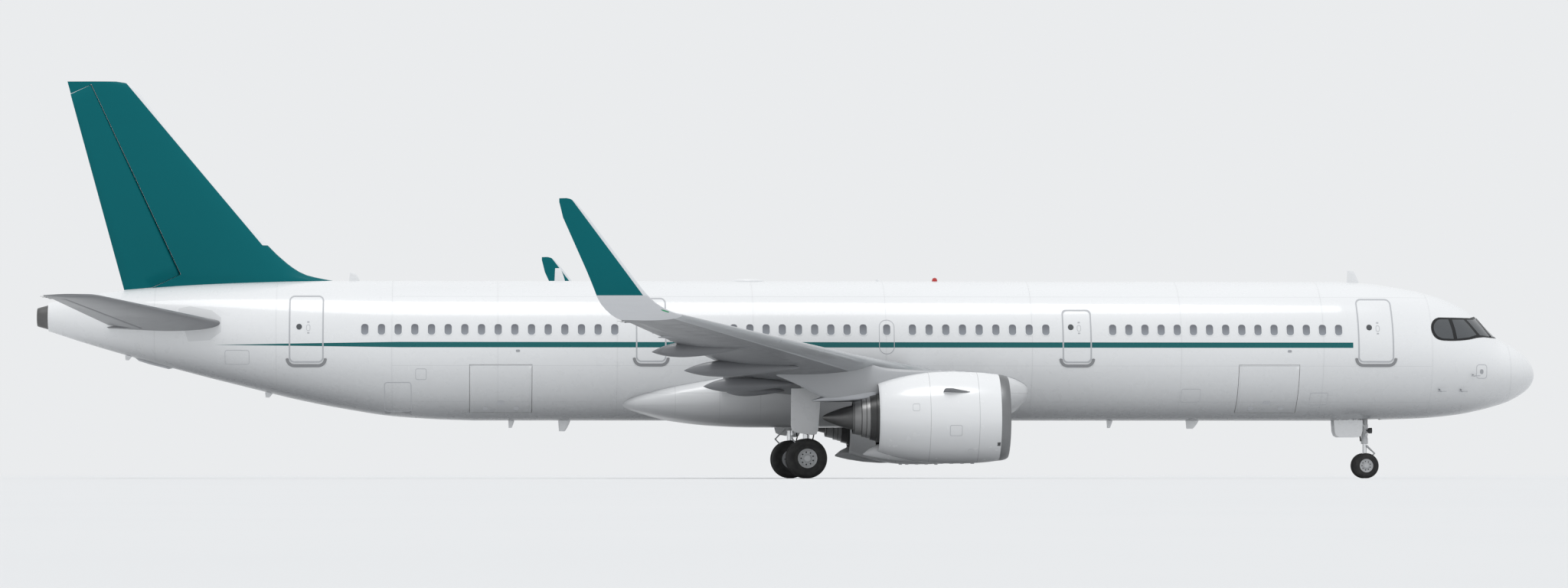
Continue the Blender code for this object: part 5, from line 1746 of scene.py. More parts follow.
@dataclass
class Wing(Sided):
    """One wing: its box, slats, flaps, aileron, spoilers, track fairings, sharklet, lights and dischargers."""

    repeat: Repeat
    flaps: tuple = (("inboard_flap", 2.45, 0.76, 6.2, 0.72), ("outboard_flap", 6.7, 0.72, 12.9, 0.72))
    aileron: tuple = ("aileron", 13.05, 0.73, 15.85, 0.73)
    slats: tuple[tuple[float, float], ...] = ((2.75, 5.25), (6.3, 8.7), (8.72, 11.1), (11.12, 13.55), (13.57, 16.0))
    slat_share: float = 0.14
    tracks: tuple = (
        (3.05, 22.55, 24.25, 2.55, 2.5, 0.13), (4.75, 22.35, 25.0, 2.72, 2.64, 0.19),
        (7.6, 22.4, 25.67, 3.14, 3.04, 0.21), (11.1, 24.0, 26.7, 3.61, 3.48, 0.19))
    sharklet_rows: tuple = (
        (16.4, 4.32, 26.09, 1.62, 0.17, 0.0), (16.62, 4.348, 26.235, 1.612, 0.155, 7.0),
        (16.85, 4.4, 26.4, 1.58, 0.14, 16.0), (17.06, 4.487, 26.59, 1.525, 0.132, 28.0),
        (17.25, 4.61, 26.8, 1.45, 0.125, 42.0), (17.38, 4.772, 26.985, 1.36, 0.118, 55.0),
        (17.48, 4.98, 27.17, 1.26, 0.11, 66.0), (17.555, 5.21, 27.355, 1.17, 0.1, 73.0),
        (17.62, 5.48, 27.56, 1.08, 0.09, 77.0), (17.82, 6.85, 28.6, 0.66, 0.055, 82.0),
        (17.88, 7.25, 28.94, 0.42, 0.035, 82.0), (17.896, 7.32, 29.07, 0.29, 0.026, 82.0),
        (17.9, 7.34, 29.16, 0.2, 0.02, 82.0))

    def skin(self, y: float, share: float, upper: bool, grow: float = 0.0) -> Vector:
        """A point of the wing's skin.

        Args:
            y: Metres from the middle.
            share: The share of the chord.
            upper: Whether it is on top.
            grow: How far outside the skin.

        Returns:
            The station point.
        """
        x, z, chord, thick, fall = linear(WING_ROWS, y)
        rise = 0.5 * thick * chord * linear(AIRFOIL, share)[0] + grow
        return Vector((x + share * chord, self.side.sign * y, z - fall * share * chord + (rise if upper else -rise)))

    def part(self, y0: float, y1: float, start: float, end: float, grow: float = 0.0, rows: int = 0) -> Body:
        """A slice of the wing between two distances and two shares of the chord, as a closed shape."""
        shares = sorted({start, end, *(a for a, _ in AIRFOIL if start < a < end)})
        ys = {y0, y1, *(row[0] for row in WING_ROWS if y0 < row[0] < y1)}
        ys |= {y0 + (y1 - y0) * k / rows for k in range(1, rows)} if rows else set()
        rings = []
        for y in sorted(ys):
            upper = [self.skin(y, s, True, grow) for s in shares]
            lower = [self.skin(y, s, False, grow) for s in reversed(shares)]
            if start == 0.0:
                lower = lower[:-1]
            rings.append(upper + lower)
        return Body().loft(rings)

    def box_and_slats(self) -> None:
        """The fixed wing and the slats ahead of it."""
        wing = self.part(1.0, 16.4, 0.0, 1.0, 0.0, 40).object(self.name("wing_box"), SKIN)
        cutters = []
        for name, y0, share0, y1, share1 in (*self.flaps, self.aileron):
            gap = 0.016 if name == "aileron" else 0.008
            outline = []
            for y, share in ((y0 - gap, share0), (y1 + gap, share1)):
                x, _, chord, _, _ = linear(WING_ROWS, y)
                outline.append((x + share * chord - 0.012 - 0.25 * self.nose(y, share), y))
            (xa, ya), (xb, yb) = outline
            cutters.append([(xa, ya), (xb, yb), (xb + 3.0, yb), (xa + 3.0, ya)])
        for y0, y1 in self.slats:
            ring = []
            for y, front in ((y0 - 0.006, False), (y1 + 0.006, False), (y1 + 0.006, True), (y0 - 0.006, True)):
                x, _, chord, _, _ = linear(WING_ROWS, y)
                ring.append((x - 1.0 if front else x + self.slat_share * chord + 0.006, y))
            cutters.append(ring)
        for ring in cutters:
            tool = Body().loft([[(x, self.side.sign * y, z) for x, y in ring] for z in (1.5, 6.0)])
            cut(wing, tool.object("cutter", SEAM))
        sharpen(wing, 30)
        ride(wing, SKIN, self.name("wing"))
        slats = Body()
        for y0, y1 in self.slats:
            shares = [a for a, _ in AIRFOIL if a < self.slat_share] + [self.slat_share]
            rings = []
            for k in range(7):
                y = y0 + (y1 - y0) * k / 6
                upper = [self.skin(y, s, True, 0.001) for s in shares]
                lower = [self.skin(y, s, False, 0.001) for s in reversed(shares[1:])]
                rings.append(upper + lower)
            slats.loft(rings)
        piece = rounded(slats.object(self.name("slat_panels"), PALE), 0.0012, angle=50.0)
        ride(piece, PALE, self.name("slat"))

    def nose(self, y: float, share: float) -> float:
        """Half the wing's thickness at a hinge line."""
        _, _, chord, thick, _ = linear(WING_ROWS, y)
        return 0.5 * thick * chord * linear(AIRFOIL, share)[0]

    def hinge_line(self, y0: float, share0: float, y1: float, share1: float) -> tuple:
        """Both ends of a flap's or aileron's hinge line, with its way aft and its upward way."""
        ends = []
        for y, share in ((y0, share0), (y1, share1)):
            x, z, chord, _, fall = linear(WING_ROWS, y)
            place = Vector((x + share * chord, self.side.sign * y, z - fall * share * chord))
            ends.append((place, chord * (1 - share) * 0.995, self.nose(y, share)))
        _, normal, back = hinge_axes(ends[0][0], ends[1][0], UP)
        return *ends, back, normal

    def surface(self, name: str, y0: float, share0: float, y1: float, share1: float, body: str) -> None:
        """A flap or aileron with a round nose about its hinge line, thin at the rear edge."""
        (start, chord0, radius0), (end, chord1, radius1), back, normal = self.hinge_line(y0, share0, y1, share1)
        rings = surface_rings((start, end), (chord0, chord1), (radius0, radius1), normal, back,
                              [(0.25, 0.8), (0.5, 0.56), (0.75, 0.32)], 0.006, 0.007, 12)
        piece = Body().loft(rings).object(self.name(name + "_panel"), GREY, 45.0)
        rounded(piece, 0.0015, angle=60.0)
        ride(piece, GREY, self.name(name), body=body)

    def fairings(self) -> None:
        """The flap track fairings as slim pods."""
        shape = Smooth(((0.0, 0.03), (0.04, 0.2), (0.12, 0.38), (0.25, 0.6), (0.4, 0.82), (0.55, 0.97), (0.66, 1.0),
                        (0.78, 0.88), (0.89, 0.58), (0.96, 0.27), (1.0, 0.03)))
        for index, (y, x0, x1, z0, z1, radius) in enumerate(self.tracks):
            rings = []
            for k in range(49):
                share = 0.5 - 0.5 * cos(pi * k / 48)
                size = shape(share)[0]
                x, z = x0 + share * (x1 - x0), z0 + share * (z1 - z0)
                ring = []
                for t in (tau * i / 32 for i in range(32)):
                    high = radius * size * sin(t) * (1.25 if sin(t) > 0 else 1.0)
                    ring.append(Vector((x, self.side.sign * y + 0.72 * radius * size * cos(t), z + high)))
                rings.append(ring)
            Body().loft(rings).put(self.name(f"track_fairing_{index + 1}"), GREY)

    def spoilers(self) -> None:
        """The spoilers on top and the access panels under the wing, as thin plates on the skin."""
        top = Body()
        rows = ((3.05, 4.55, 0.625, 0.735), (6.75, 8.35, 0.585, 0.695), (8.39, 9.95, 0.585, 0.695),
                (9.99, 11.5, 0.585, 0.695), (11.54, 12.85, 0.585, 0.695))
        for y0, y1, s0, s1 in rows:
            self.plate(top, y0, y1, s0, s1, True, 0.006)
        top.put(self.name("spoilers"), GREY, sharp=30.0)
        under = Body()
        y = 3.4
        while y < 15.4:
            middle = 0.36 + 0.02 * sin(3.0 * y)
            reach = 0.26 / linear(WING_ROWS, y)[2]
            self.plate(under, y, y + 0.34, middle - reach, middle + reach, False, 0.003)
            y += 0.62
        under.put(self.name("tank_panels"), GREY, sharp=30.0)

    def plate(self, body: Body, y0: float, y1: float, s0: float, s1: float, upper: bool, height: float) -> None:
        """Adds a thin plate on the wing's skin."""
        rings = []
        for k in range(5):
            y = y0 + (y1 - y0) * k / 4
            shares = [s0 + (s1 - s0) * j / 4 for j in range(5)]
            rings.append([self.skin(y, s, upper, height) for s in shares]
                         + [self.skin(y, s, upper, SUNK) for s in reversed(shares)])
        body.loft(rings)

    def sharklet(self) -> None:
        """The blended, upturned tip."""
        rows = list(self.sharklet_rows)
        fine = []
        for low, high in zip(rows, rows[1:]):
            parts = 4 if low[0] < 17.62 else 6
            fine += [tuple(a + (b - a) * k / parts for a, b in zip(low, high)) for k in range(parts)]
        fine.append(rows[-1])
        rings = []
        for y, z, x, chord, thick, cant in fine:
            turn = radians(cant)
            start = Vector((x, self.side.sign * (y + GAP), z))
            normal = Vector((0, -self.side.sign * sin(turn), cos(turn)))
            fall = 0.02 + 0.055 * max(0.0, 1.0 - (y - 16.4) / 0.85)
            rings.append(section(start, chord, 0.5 * thick, Vector((1, 0, -fall)), normal))
        Body().loft(rings).put(self.name("wing_tip"), SHARKLET, self.name("sharklet"), sharp=50.0)

    def lights(self) -> None:
        """The navigation light in the tip's leading edge, and the landing light at the root."""
        lens = RED_LENS if self.side is Side.PORT else GREEN_LENS
        sign = self.side.sign
        path = [(26.47, sign * 16.87, 4.41), (26.62, sign * 17.0, 4.46), (26.76, sign * 17.1, 4.52)]
        Body().tube(path, [0.045, 0.06, 0.045], 16, 0.6).put(self.name("navigation_light"), lens)
        root = Body().tube([(18.42, sign * 2.52, 3.02), (18.62, sign * 2.62, 3.02)], [0.07, 0.11], 24)
        root.put(self.name("landing_light"), CLEAR_LENS)

    def dischargers(self) -> None:
        """Static dischargers along the outer rear edge."""
        (start, chord0, _), (end, chord1, _), back, _ = self.hinge_line(*self.flaps[1][1:])
        edges = [start.lerp(end, k) + (chord0 + (chord1 - chord0) * k) * back for k in (0.84, 0.95)]
        edges += [self.skin(y, 1.0, True) + Vector((0, 0, -0.01)) for y in (15.95, 16.2)]
        places = [(edge + Vector((-0.015, 0, 0)), AFT, UP) for edge in edges]
        ride(self.repeat.spread(self.name("wing_dischargers"), discharger(0.16, 0.012), places, DARK), DARK)

    def build(self) -> None:
        """Builds the wing."""
        self.box_and_slats()
        for row in self.flaps:
            self.surface(*row, "airframe")
        self.surface(*self.aileron, self.name("aileron"))
        self.fairings()
        self.spoilers()
        self.sharklet()
        self.lights()
        self.dischargers()


@dataclass
class Tail:
    """The fin with its rudder and fillet, and the tailplanes with their elevators and seal plates."""

    repeat: Repeat
    fin_rows: tuple = (
        (5.1, 34.6, 41.88, 0.5), (5.84, 35.7, 42.07, 0.5), (5.9, 36.04, 42.09, 0.5), (5.96, 36.33, 42.105, 0.5),
        (6.02, 36.56, 42.12, 0.5), (6.12, 36.78, 42.15, 0.5), (6.24, 36.97, 42.18, 0.495), (6.36, 37.13, 42.21, 0.49),
        (6.62, 37.43, 42.28, 0.48), (6.93, 37.74, 42.36, 0.47), (7.5, 38.25, 42.51, 0.432),
        (8.3, 38.97, 42.73, 0.379), (9.2, 39.78, 42.97, 0.32), (10.2, 40.57, 43.24, 0.26),
        (11.1, 41.27, 43.48, 0.207), (11.4, 41.51, 43.56, 0.19), (11.56, 41.66, 43.6, 0.175),
        (11.66, 41.8, 43.63, 0.16), (11.72, 41.95, 43.645, 0.14), (11.76, 42.2, 43.655, 0.12))
    rudder_foot: tuple[float, float] = (40.41, 5.98)
    rudder_head: tuple[float, float] = (43.0, 11.64)
    rudder_chords: tuple[float, float] = (1.62, 0.62)
    rudder_radii: tuple[float, float] = (0.135, 0.055)
    plane_rows: tuple = (
        (0.45, 38.36, 4.42, 3.9, 0.105), (1.4, 39.027, 4.55, 3.493, 0.1033), (2.35, 39.693, 4.68, 3.087, 0.1017),
        (3.3, 40.36, 4.81, 2.68, 0.1), (4.15, 40.953, 4.927, 2.32, 0.0983), (5.0, 41.547, 5.043, 1.96, 0.0967),
        (5.85, 42.14, 5.16, 1.6, 0.095), (6.02, 42.29, 5.181, 1.48, 0.09), (6.12, 42.42, 5.19, 1.38, 0.08),
        (6.18, 42.58, 5.2, 1.22, 0.07), (6.22, 42.8, 5.21, 1.02, 0.06))
    elevator: tuple = (1.32, 0.7, 5.8, 0.7)

    def slot(self, start: Vector, end: Vector, lift: Vector, radii: tuple[float, float]) -> Body:
        """The space that a hinged surface works in, open to the rear."""
        axis, normal, back = hinge_axes(start, end, lift)
        rings = []
        for centre, radius, way in ((start, radii[0], -1), (end, radii[1], 1)):
            place = centre + way * RUNNING_GAP * axis
            front, rear = -(radius + RUNNING_GAP) * back, 3.0 * back
            rings.append([place + front + 0.45 * normal, place + front - 0.45 * normal, place + rear - 0.45 * normal,
                          place + rear + 0.45 * normal])
        return Body().loft(rings)

    def seal(self, name: str, start: Vector, end: Vector, lift: Vector, radii: tuple[float, float],
             finish: Finish) -> None:
        """The strip that closes the gap ahead of a hinged surface's nose."""
        _, normal, back = hinge_axes(start, end, lift)
        rings = []
        for centre, radius in ((start, radii[0]), (end, radii[1])):
            near, far, half = -(radius + 0.003) * back, -(radius + RUNNING_GAP + 0.004) * back, 0.25 * radius
            rings.append([centre + near + half * normal, centre + near - half * normal, centre + far - half * normal,
                          centre + far + half * normal])
        Body().loft(rings).put(name, finish)

    def hinged(self, name: str, start: Vector, end: Vector, lift: Vector, chords: tuple[float, float],
               radii: tuple[float, float], finish: Finish) -> Piece:
        """A hinged surface with a round nose and its hinge pins.

        Args:
            name: The piece's name.
            start: The hinge line's first end.
            end: Its other end.
            lift: Roughly square to the surface.
            chords: The length behind the hinge at each end.
            radii: The nose's radius at each end.
            finish: Its finish.

        Returns:
            The object.
        """
        axis, normal, back = hinge_axes(start, end, lift)
        rings = surface_rings((start, end), chords, radii, normal, back,
                              [(0.2, 0.82), (0.4, 0.63), (0.6, 0.44), (0.8, 0.25)], 0.004, 0.006, 16)
        piece = rounded(Body().loft(rings).object(name, finish, 45.0), 0.0015, angle=60.0)
        pins = (RUNNING_GAP - GAP) * axis
        rod = Body().tube([start - pins, end + pins], 0.022, 16).object("pin", finish)
        mesh = bmesh.new()
        mesh.from_mesh(piece.data)
        mesh.from_mesh(rod.data)
        mesh.to_mesh(piece.data)
        mesh.free()
        bpy.data.objects.remove(rod)
        return piece

    def fin(self) -> None:
        """The fin, the seal ahead of the rudder, and the rudder behind it."""
        rings = []
        for z, x0, x1, thick in self.fin_rows:
            rings.append(section(Vector((x0, 0.0, z)), x1 - x0, 0.5 * thick, AFT, PORT))
        fin = Body().loft(rings).object("fin_box", FIN)
        foot = Vector((self.rudder_foot[0], 0.0, self.rudder_foot[1]))
        head = Vector((self.rudder_head[0], 0.0, self.rudder_head[1]))
        lift = PORT
        cut(fin, self.slot(foot, head, lift, self.rudder_radii).object("slot", FIN), solver="MANIFOLD")
        sharpen(fin, 35)
        ride(fin, FIN, "fin")
        self.seal("rudder_seal", foot, head, lift, self.rudder_radii, DARK)
        rudder = self.hinged("rudder_panel", foot, head, lift, self.rudder_chords, self.rudder_radii, TEAL)
        fixed = [hull_ring(x, 1.2 * RUNNING_GAP, 96) for x in (38.0, 40.0, 41.0, 42.0, 43.0, 44.1)]
        cut(rudder, Body().loft(fixed).object("room", TEAL), solver="MANIFOLD")
        sharpen(rudder, 35)
        ride(rudder, TEAL, "rudder", body="rudder")

    def planes(self, side: Side) -> None:
        """One tailplane with its elevator and seal plate."""
        sign = side.sign
        along = Vector((1, 0, -0.012))
        rings = []
        for y, x, z, chord, share in self.plane_rows:
            rings.append(section(Vector((x, sign * y, z)), chord, 0.5 * share * chord, along, UP))
        plane = Body().loft(rings).object(f"tailplane_box_{side.letter}", TAILGREY)
        y0, share0, y1, share1 = self.elevator
        ends, radii = [], []
        for y, share in ((y0, share0), (y1, share1)):
            x, z, chord, thick = linear(self.plane_rows, y)
            ends.append(Vector((x + share * chord, sign * y, z - 0.012 * share * chord)))
            radii.append(0.5 * thick * chord * 0.65)
        start, end = ends
        lift = UP
        cut(plane, self.slot(start, end, lift, tuple(radii)).object("slot", TAILGREY))
        sharpen(plane, 35)
        ride(plane, TAILGREY, f"tailplane_{side.letter}")
        self.seal(f"elevator_seal_{side.letter}", start, end, lift, tuple(radii), DARK)
        name = f"elevator_{side.letter}"
        piece = self.hinged(f"elevator_panel_{side.letter}", start, end, lift, (0.98, 0.44), tuple(radii), TAILGREY)
        ride(piece, TAILGREY, name, body=name)
        plate = Body()
        outline = ((39.02, 4.3), (39.02, 4.72), (39.3, 4.93), (39.95, 5.06), (40.28, 4.99), (40.28, 4.92),
                   (39.99, 4.02), (39.35, 4.05))
        plate.plate(list(outline), sign * 0.3, sign * 2.0)
        made = plate.object(f"seal_plate_{side.letter}", SEALPLATE)
        outer, inner = ([hull_ring(38.0 + 0.5 * k, grow) for k in range(8)] for grow in (0.004, -0.03))
        cut(made, Body().loft(outer).object("outer", SEALPLATE), "INTERSECT")
        cut(made, Body().loft(inner).object("inner", SEALPLATE))
        sharpen(made, 35)
        ride(made, SEALPLATE)

    def dischargers(self) -> None:
        """The static dischargers at the tailplanes' tips."""
        places = []
        for side in Side:
            for y in (5.9, 6.08):
                x, z, chord, _ = linear(self.plane_rows, y)
                places.append((Vector((x + chord - 0.02, side.sign * y, z - 0.012 * chord)), AFT,
                               UP))
        ride(self.repeat.spread("tail_dischargers", discharger(0.15, 0.011), places, DARK), DARK)

    def build(self) -> None:
        """Builds the tail."""
        self.fin()
        for side in Side:
            self.planes(side)
        self.dischargers()


@dataclass
class BellyFairing:
    """The fairing round the wing roots, with its seals, ram inlets and outlets."""

    rows: tuple = (
        (15.22, 0.6, 2.48, 2.75), (15.3, 1.62, 2.22, 3.05), (15.5, 1.8, 2.0, 3.2), (15.8, 1.93, 1.82, 3.34),
        (16.2, 2.01, 1.7, 3.44), (16.6, 2.055, 1.66, 3.5), (17.8, 2.13, 1.56, 3.56), (19.6, 2.17, 1.51, 3.56),
        (21.5, 2.172, 1.505, 3.52), (23.4, 2.17, 1.51, 3.44), (24.6, 2.11, 1.56, 3.16), (25.8, 2.0, 1.7, 2.86),
        (26.6, 1.8, 1.86, 2.6), (27.05, 1.52, 1.98, 2.44), (27.25, 1.2, 2.06, 2.36))
    squareness: float = 2.6

    def build(self) -> None:
        """Builds the fairing."""
        curve = Smooth(self.rows)
        rings = []
        xs = [15.22 + (27.25 - 15.22) * k / 110 for k in range(111)]
        xs = sorted({*xs, 15.24, 15.27, 15.3, 15.34, 15.4})
        for x in xs:
            half, low, high = curve(x)
            power = 2.0 / self.squareness
            rings.append(squared_ring(x, 0.0, half, low, high, power, power))
        Body().loft(rings).put("wing_body_fairing", FAIRING, "belly_fairing")
        self.seals(curve)
        self.scoops()

    def seals(self, curve: Smooth) -> None:
        """The bead along the upper joint between fairing and fuselage."""
        body = Body()
        for side in (-1, 1):
            path = []
            for k in range(140):
                x = 15.27 + (27.1 - 15.27) * k / 139
                half, low, high = curve(x)
                width, bottom, top, widest = hull_row(x)
                middle, rise = 0.5 * (low + high), 0.5 * (high - low)
                for step in range(120):
                    turn = radians(0.75 * step)
                    y = half * cos(turn) ** (2.0 / self.squareness)
                    z = middle + rise * sin(turn) ** (2.0 / self.squareness)
                    span = top - widest if z > widest else widest - bottom
                    if (y / width) ** 2 + ((z - widest) / span) ** 2 < 1.0:
                        if step:
                            path.append((x, side * y, z))
                        break
            body.tube(path, 0.012, 8)
        body.put("fairing_seals", SEAM)

    def scoops(self) -> None:
        """The air conditioning's ram inlets ahead, and its outlets, on the fairing's keel."""
        scoops, grilles = Body(), Body()
        for side in (-1, 1):
            rings = []
            for x, rise, half in ((16.95, 0.015, 0.13), (17.05, 0.055, 0.15), (17.3, 0.075, 0.15), (17.6, 0.05, 0.13),
                                  (17.95, 0.0, 0.09)):
                foot, y = 1.6 if x < 17.5 else 1.575, side * 0.75
                rings.append([(x, y + half * cos(t), foot - rise * sin(t)) for t in (pi * k / 12 for k in range(13))]
                             + [(x, y - half, foot + 0.06), (x, y + half, foot + 0.06)])
            scoops.loft(rings)
            for k in range(9):
                x = 19.1 + 0.06 * k
                grilles.box((x, side * 0.85 - 0.16, 1.498), (x + 0.025, side * 0.85 + 0.16, 1.56))
        scoops.put("ram_inlets", FAIRING)
        grilles.put("air_outlets", DARK)


@dataclass(frozen=True)
class FairingPaint(Paint):
    """Belly paint with the fairing's panel joints."""

    joints: tuple[float, ...] = (16.4, 17.6, 18.9, 20.3, 23.2, 24.4, 25.7)

    def colouring(self, box: Paintbox) -> Socket:
        """Pale paint with joints, darkened towards the keel as painted shade."""
        base = super().colouring(box)
        # Painted shade: darker towards the keel, as on the fuselage's belly.
        base = box.mix((1.0 - box.z.above(1.2, 0.9)).run("POWER", 1.6), base, (0.235, 0.24, 0.25))
        seams = box.z.line(1.25, 0.005, 0.003)
        for x in self.joints:
            seams = seams + box.x.line(model_x(x), 0.006, 0.003)
        return box.mix(seams * 0.35, base, (0.2, 0.205, 0.21))


FAIRING = FairingPaint("fairing_paint", (0.78, 0.79, 0.8), "white_paint", roughness=0.3)
TAILGREY = WingPaint("tailplane_paint", (0.2, 0.205, 0.215), "grey_paint", roughness=0.38, coat=0.2, bays=0.45)
SEALPLATE = Paint("seal_plate_paint", (0.66, 0.67, 0.68), "grey_paint", roughness=0.4)


@dataclass
class Wheels:
    """A pair of wheels on one axle: tyres with grooves, and rims with bolts and dark discs of painted shade for their
    holes.
    """

    name: str
    body: str
    nodes: tuple[str, str, str]
    place: Point
    wheel_y: float
    radius: float
    width: float
    rim: float
    axle: float
    grooves: tuple[float, ...] = (-0.5, -0.17, 0.17, 0.5)
    holes: int = 9
    web: tuple = ((0.35, 0.84), (0.55, 0.72), (0.52, 0.52), (0.38, 0.4), (0.1, 0.36), (0.04, 0.3), (0.02, 0.0))

    def tyre(self, way: int) -> None:
        """One tyre with its grooved tread."""
        half = 0.5 * self.width
        depth = 0.016 * self.radius / 0.585
        rise = self.radius - self.rim
        crown = []
        steps = 64
        for k in range(steps + 1):
            u = -1.0 + 2.0 * k / steps
            angle = u * radians(122.0)
            out = half * 0.985 * math.copysign(abs(sin(angle)) ** 0.82, sin(angle))
            high = cos(angle)
            r = self.rim + rise * (0.3 + 0.7 * (high + 0.53) / 1.53) if abs(angle) < radians(122) else self.rim
            crown.append((out, min(r, self.radius)))
        profile = []
        for out, r in crown:
            for g in self.grooves:
                if abs(out / half - g) < 0.045 and r > self.radius - 0.2 * rise:
                    r -= depth
            profile.append((out, r))
        profile = [(-0.68 * half, self.rim + 0.001), *profile, (0.68 * half, self.rim + 0.001)]
        x, y, z = self.place
        piece = Body().turned(profile, (x, y + way * self.wheel_y, z), "y", 96)
        node = self.nodes[1] if way < 0 else self.nodes[2]
        piece.put(node + "_tread", TYRE, node, body=self.body, sharp=30.0)

    def rims(self) -> None:
        """Both rims with their web, dark discs of painted shade for holes, bolts and hub cap, on the axle."""
        x, y, z = self.place
        half = 0.5 * self.width
        face = 0.7 * half
        rim, axle = self.rim, self.axle
        piece = Body()
        for way in (-1, 1):
            outer = self.wheel_y + face
            inner = self.wheel_y - face
            side = [(inner, 0.88 * rim), (inner + 0.01, 0.97 * rim), (inner, rim + 0.012),
                    (inner + 0.02, rim + 0.014), (inner + 0.04, rim), (outer - 0.04, rim),
                    (outer - 0.02, rim + 0.014), (outer, rim + 0.012), (outer - 0.006, 0.95 * rim),
                    (outer - 0.02, 0.9 * rim)]
            side += [(outer - a * face, r * rim) for a, r in self.web]
            piece.turned([(way * a, r) for a, r in (*side, (inner, 0.0))], (x, y, z), "y", 72)
        piece.tube([(x, y - self.wheel_y, z), (x, y + self.wheel_y, z)], axle, 32)
        piece.put(self.name + "_rim_set", RIM, self.nodes[0], body=self.body)
        holes, bolts = Body(), Body()
        for way in (-1, 1):
            out = y + way * (self.wheel_y + face)
            for k in range(self.holes):
                turn = tau * k / self.holes
                cx, cz = x + 0.635 * rim * cos(turn), z + 0.635 * rim * sin(turn)
                y0 = out - way * 0.54 * face
                # Dark discs stand for the holes in the rim: painted shade.
                holes.tube([(cx, y0 - way * 0.02, cz), (cx, y0 + way * 0.006, cz)], 0.085 * rim, 16)
                turn += pi / self.holes
                cx, cz = x + 0.5 * rim * cos(turn), z + 0.5 * rim * sin(turn)
                y0 = out - way * 0.5 * face
                bolts.tube([(cx, y0 - way * 0.02, cz), (cx, y0 + way * 0.022, cz)], 0.045 * rim, 6)
        holes.put(self.name + "_rim_holes", DARK, body=self.body)
        bolts.put(self.name + "_rim_bolts", STEEL, body=self.body)

    def build(self) -> None:
        """Builds the wheels."""
        for way in (-1, 1):
            self.tyre(way)
        self.rims()


RIM = Paint("wheel_rim_paint", (0.6, 0.61, 0.62), "bare_aluminium", roughness=0.36, grime=0.14)
HOSE = Rubber("hose_rubber", (0.02, 0.02, 0.021))
CHROME = Metal("chromed_piston", (0.78, 0.79, 0.8), "bare_aluminium", 0.14)


def torque_link(body: Body, x: float, y: float, high: float, low: float, reach: float, width: float) -> None:
    """Adds the scissor links behind or ahead of a shock strut.

    Args:
        body: The mesh they are added to.
        x: The strut's station at its surface.
        y: Its distance from the middle.
        high: The upper hinge's height.
        low: The lower hinge's height.
        reach: How far the elbow stands off, with its sign.
        width: The links' width at the strut.
    """
    middle = 0.5 * (high + low)
    for z in (high, low):
        way = 1 if z > middle else -1
        for side in (-1, 1):
            elbow = (x + reach, y + side * 0.1 * width, middle + way * 0.012)
            body.tube([(x, y + side * 0.42 * width, z), elbow], [0.026, 0.018], 12)
        body.tube([(x, y - 0.5 * width, z), (x, y + 0.5 * width, z)], 0.03, 16)
    body.tube([(x + reach, y - 0.2 * width, middle), (x + reach, y + 0.2 * width, middle)], 0.03, 16)


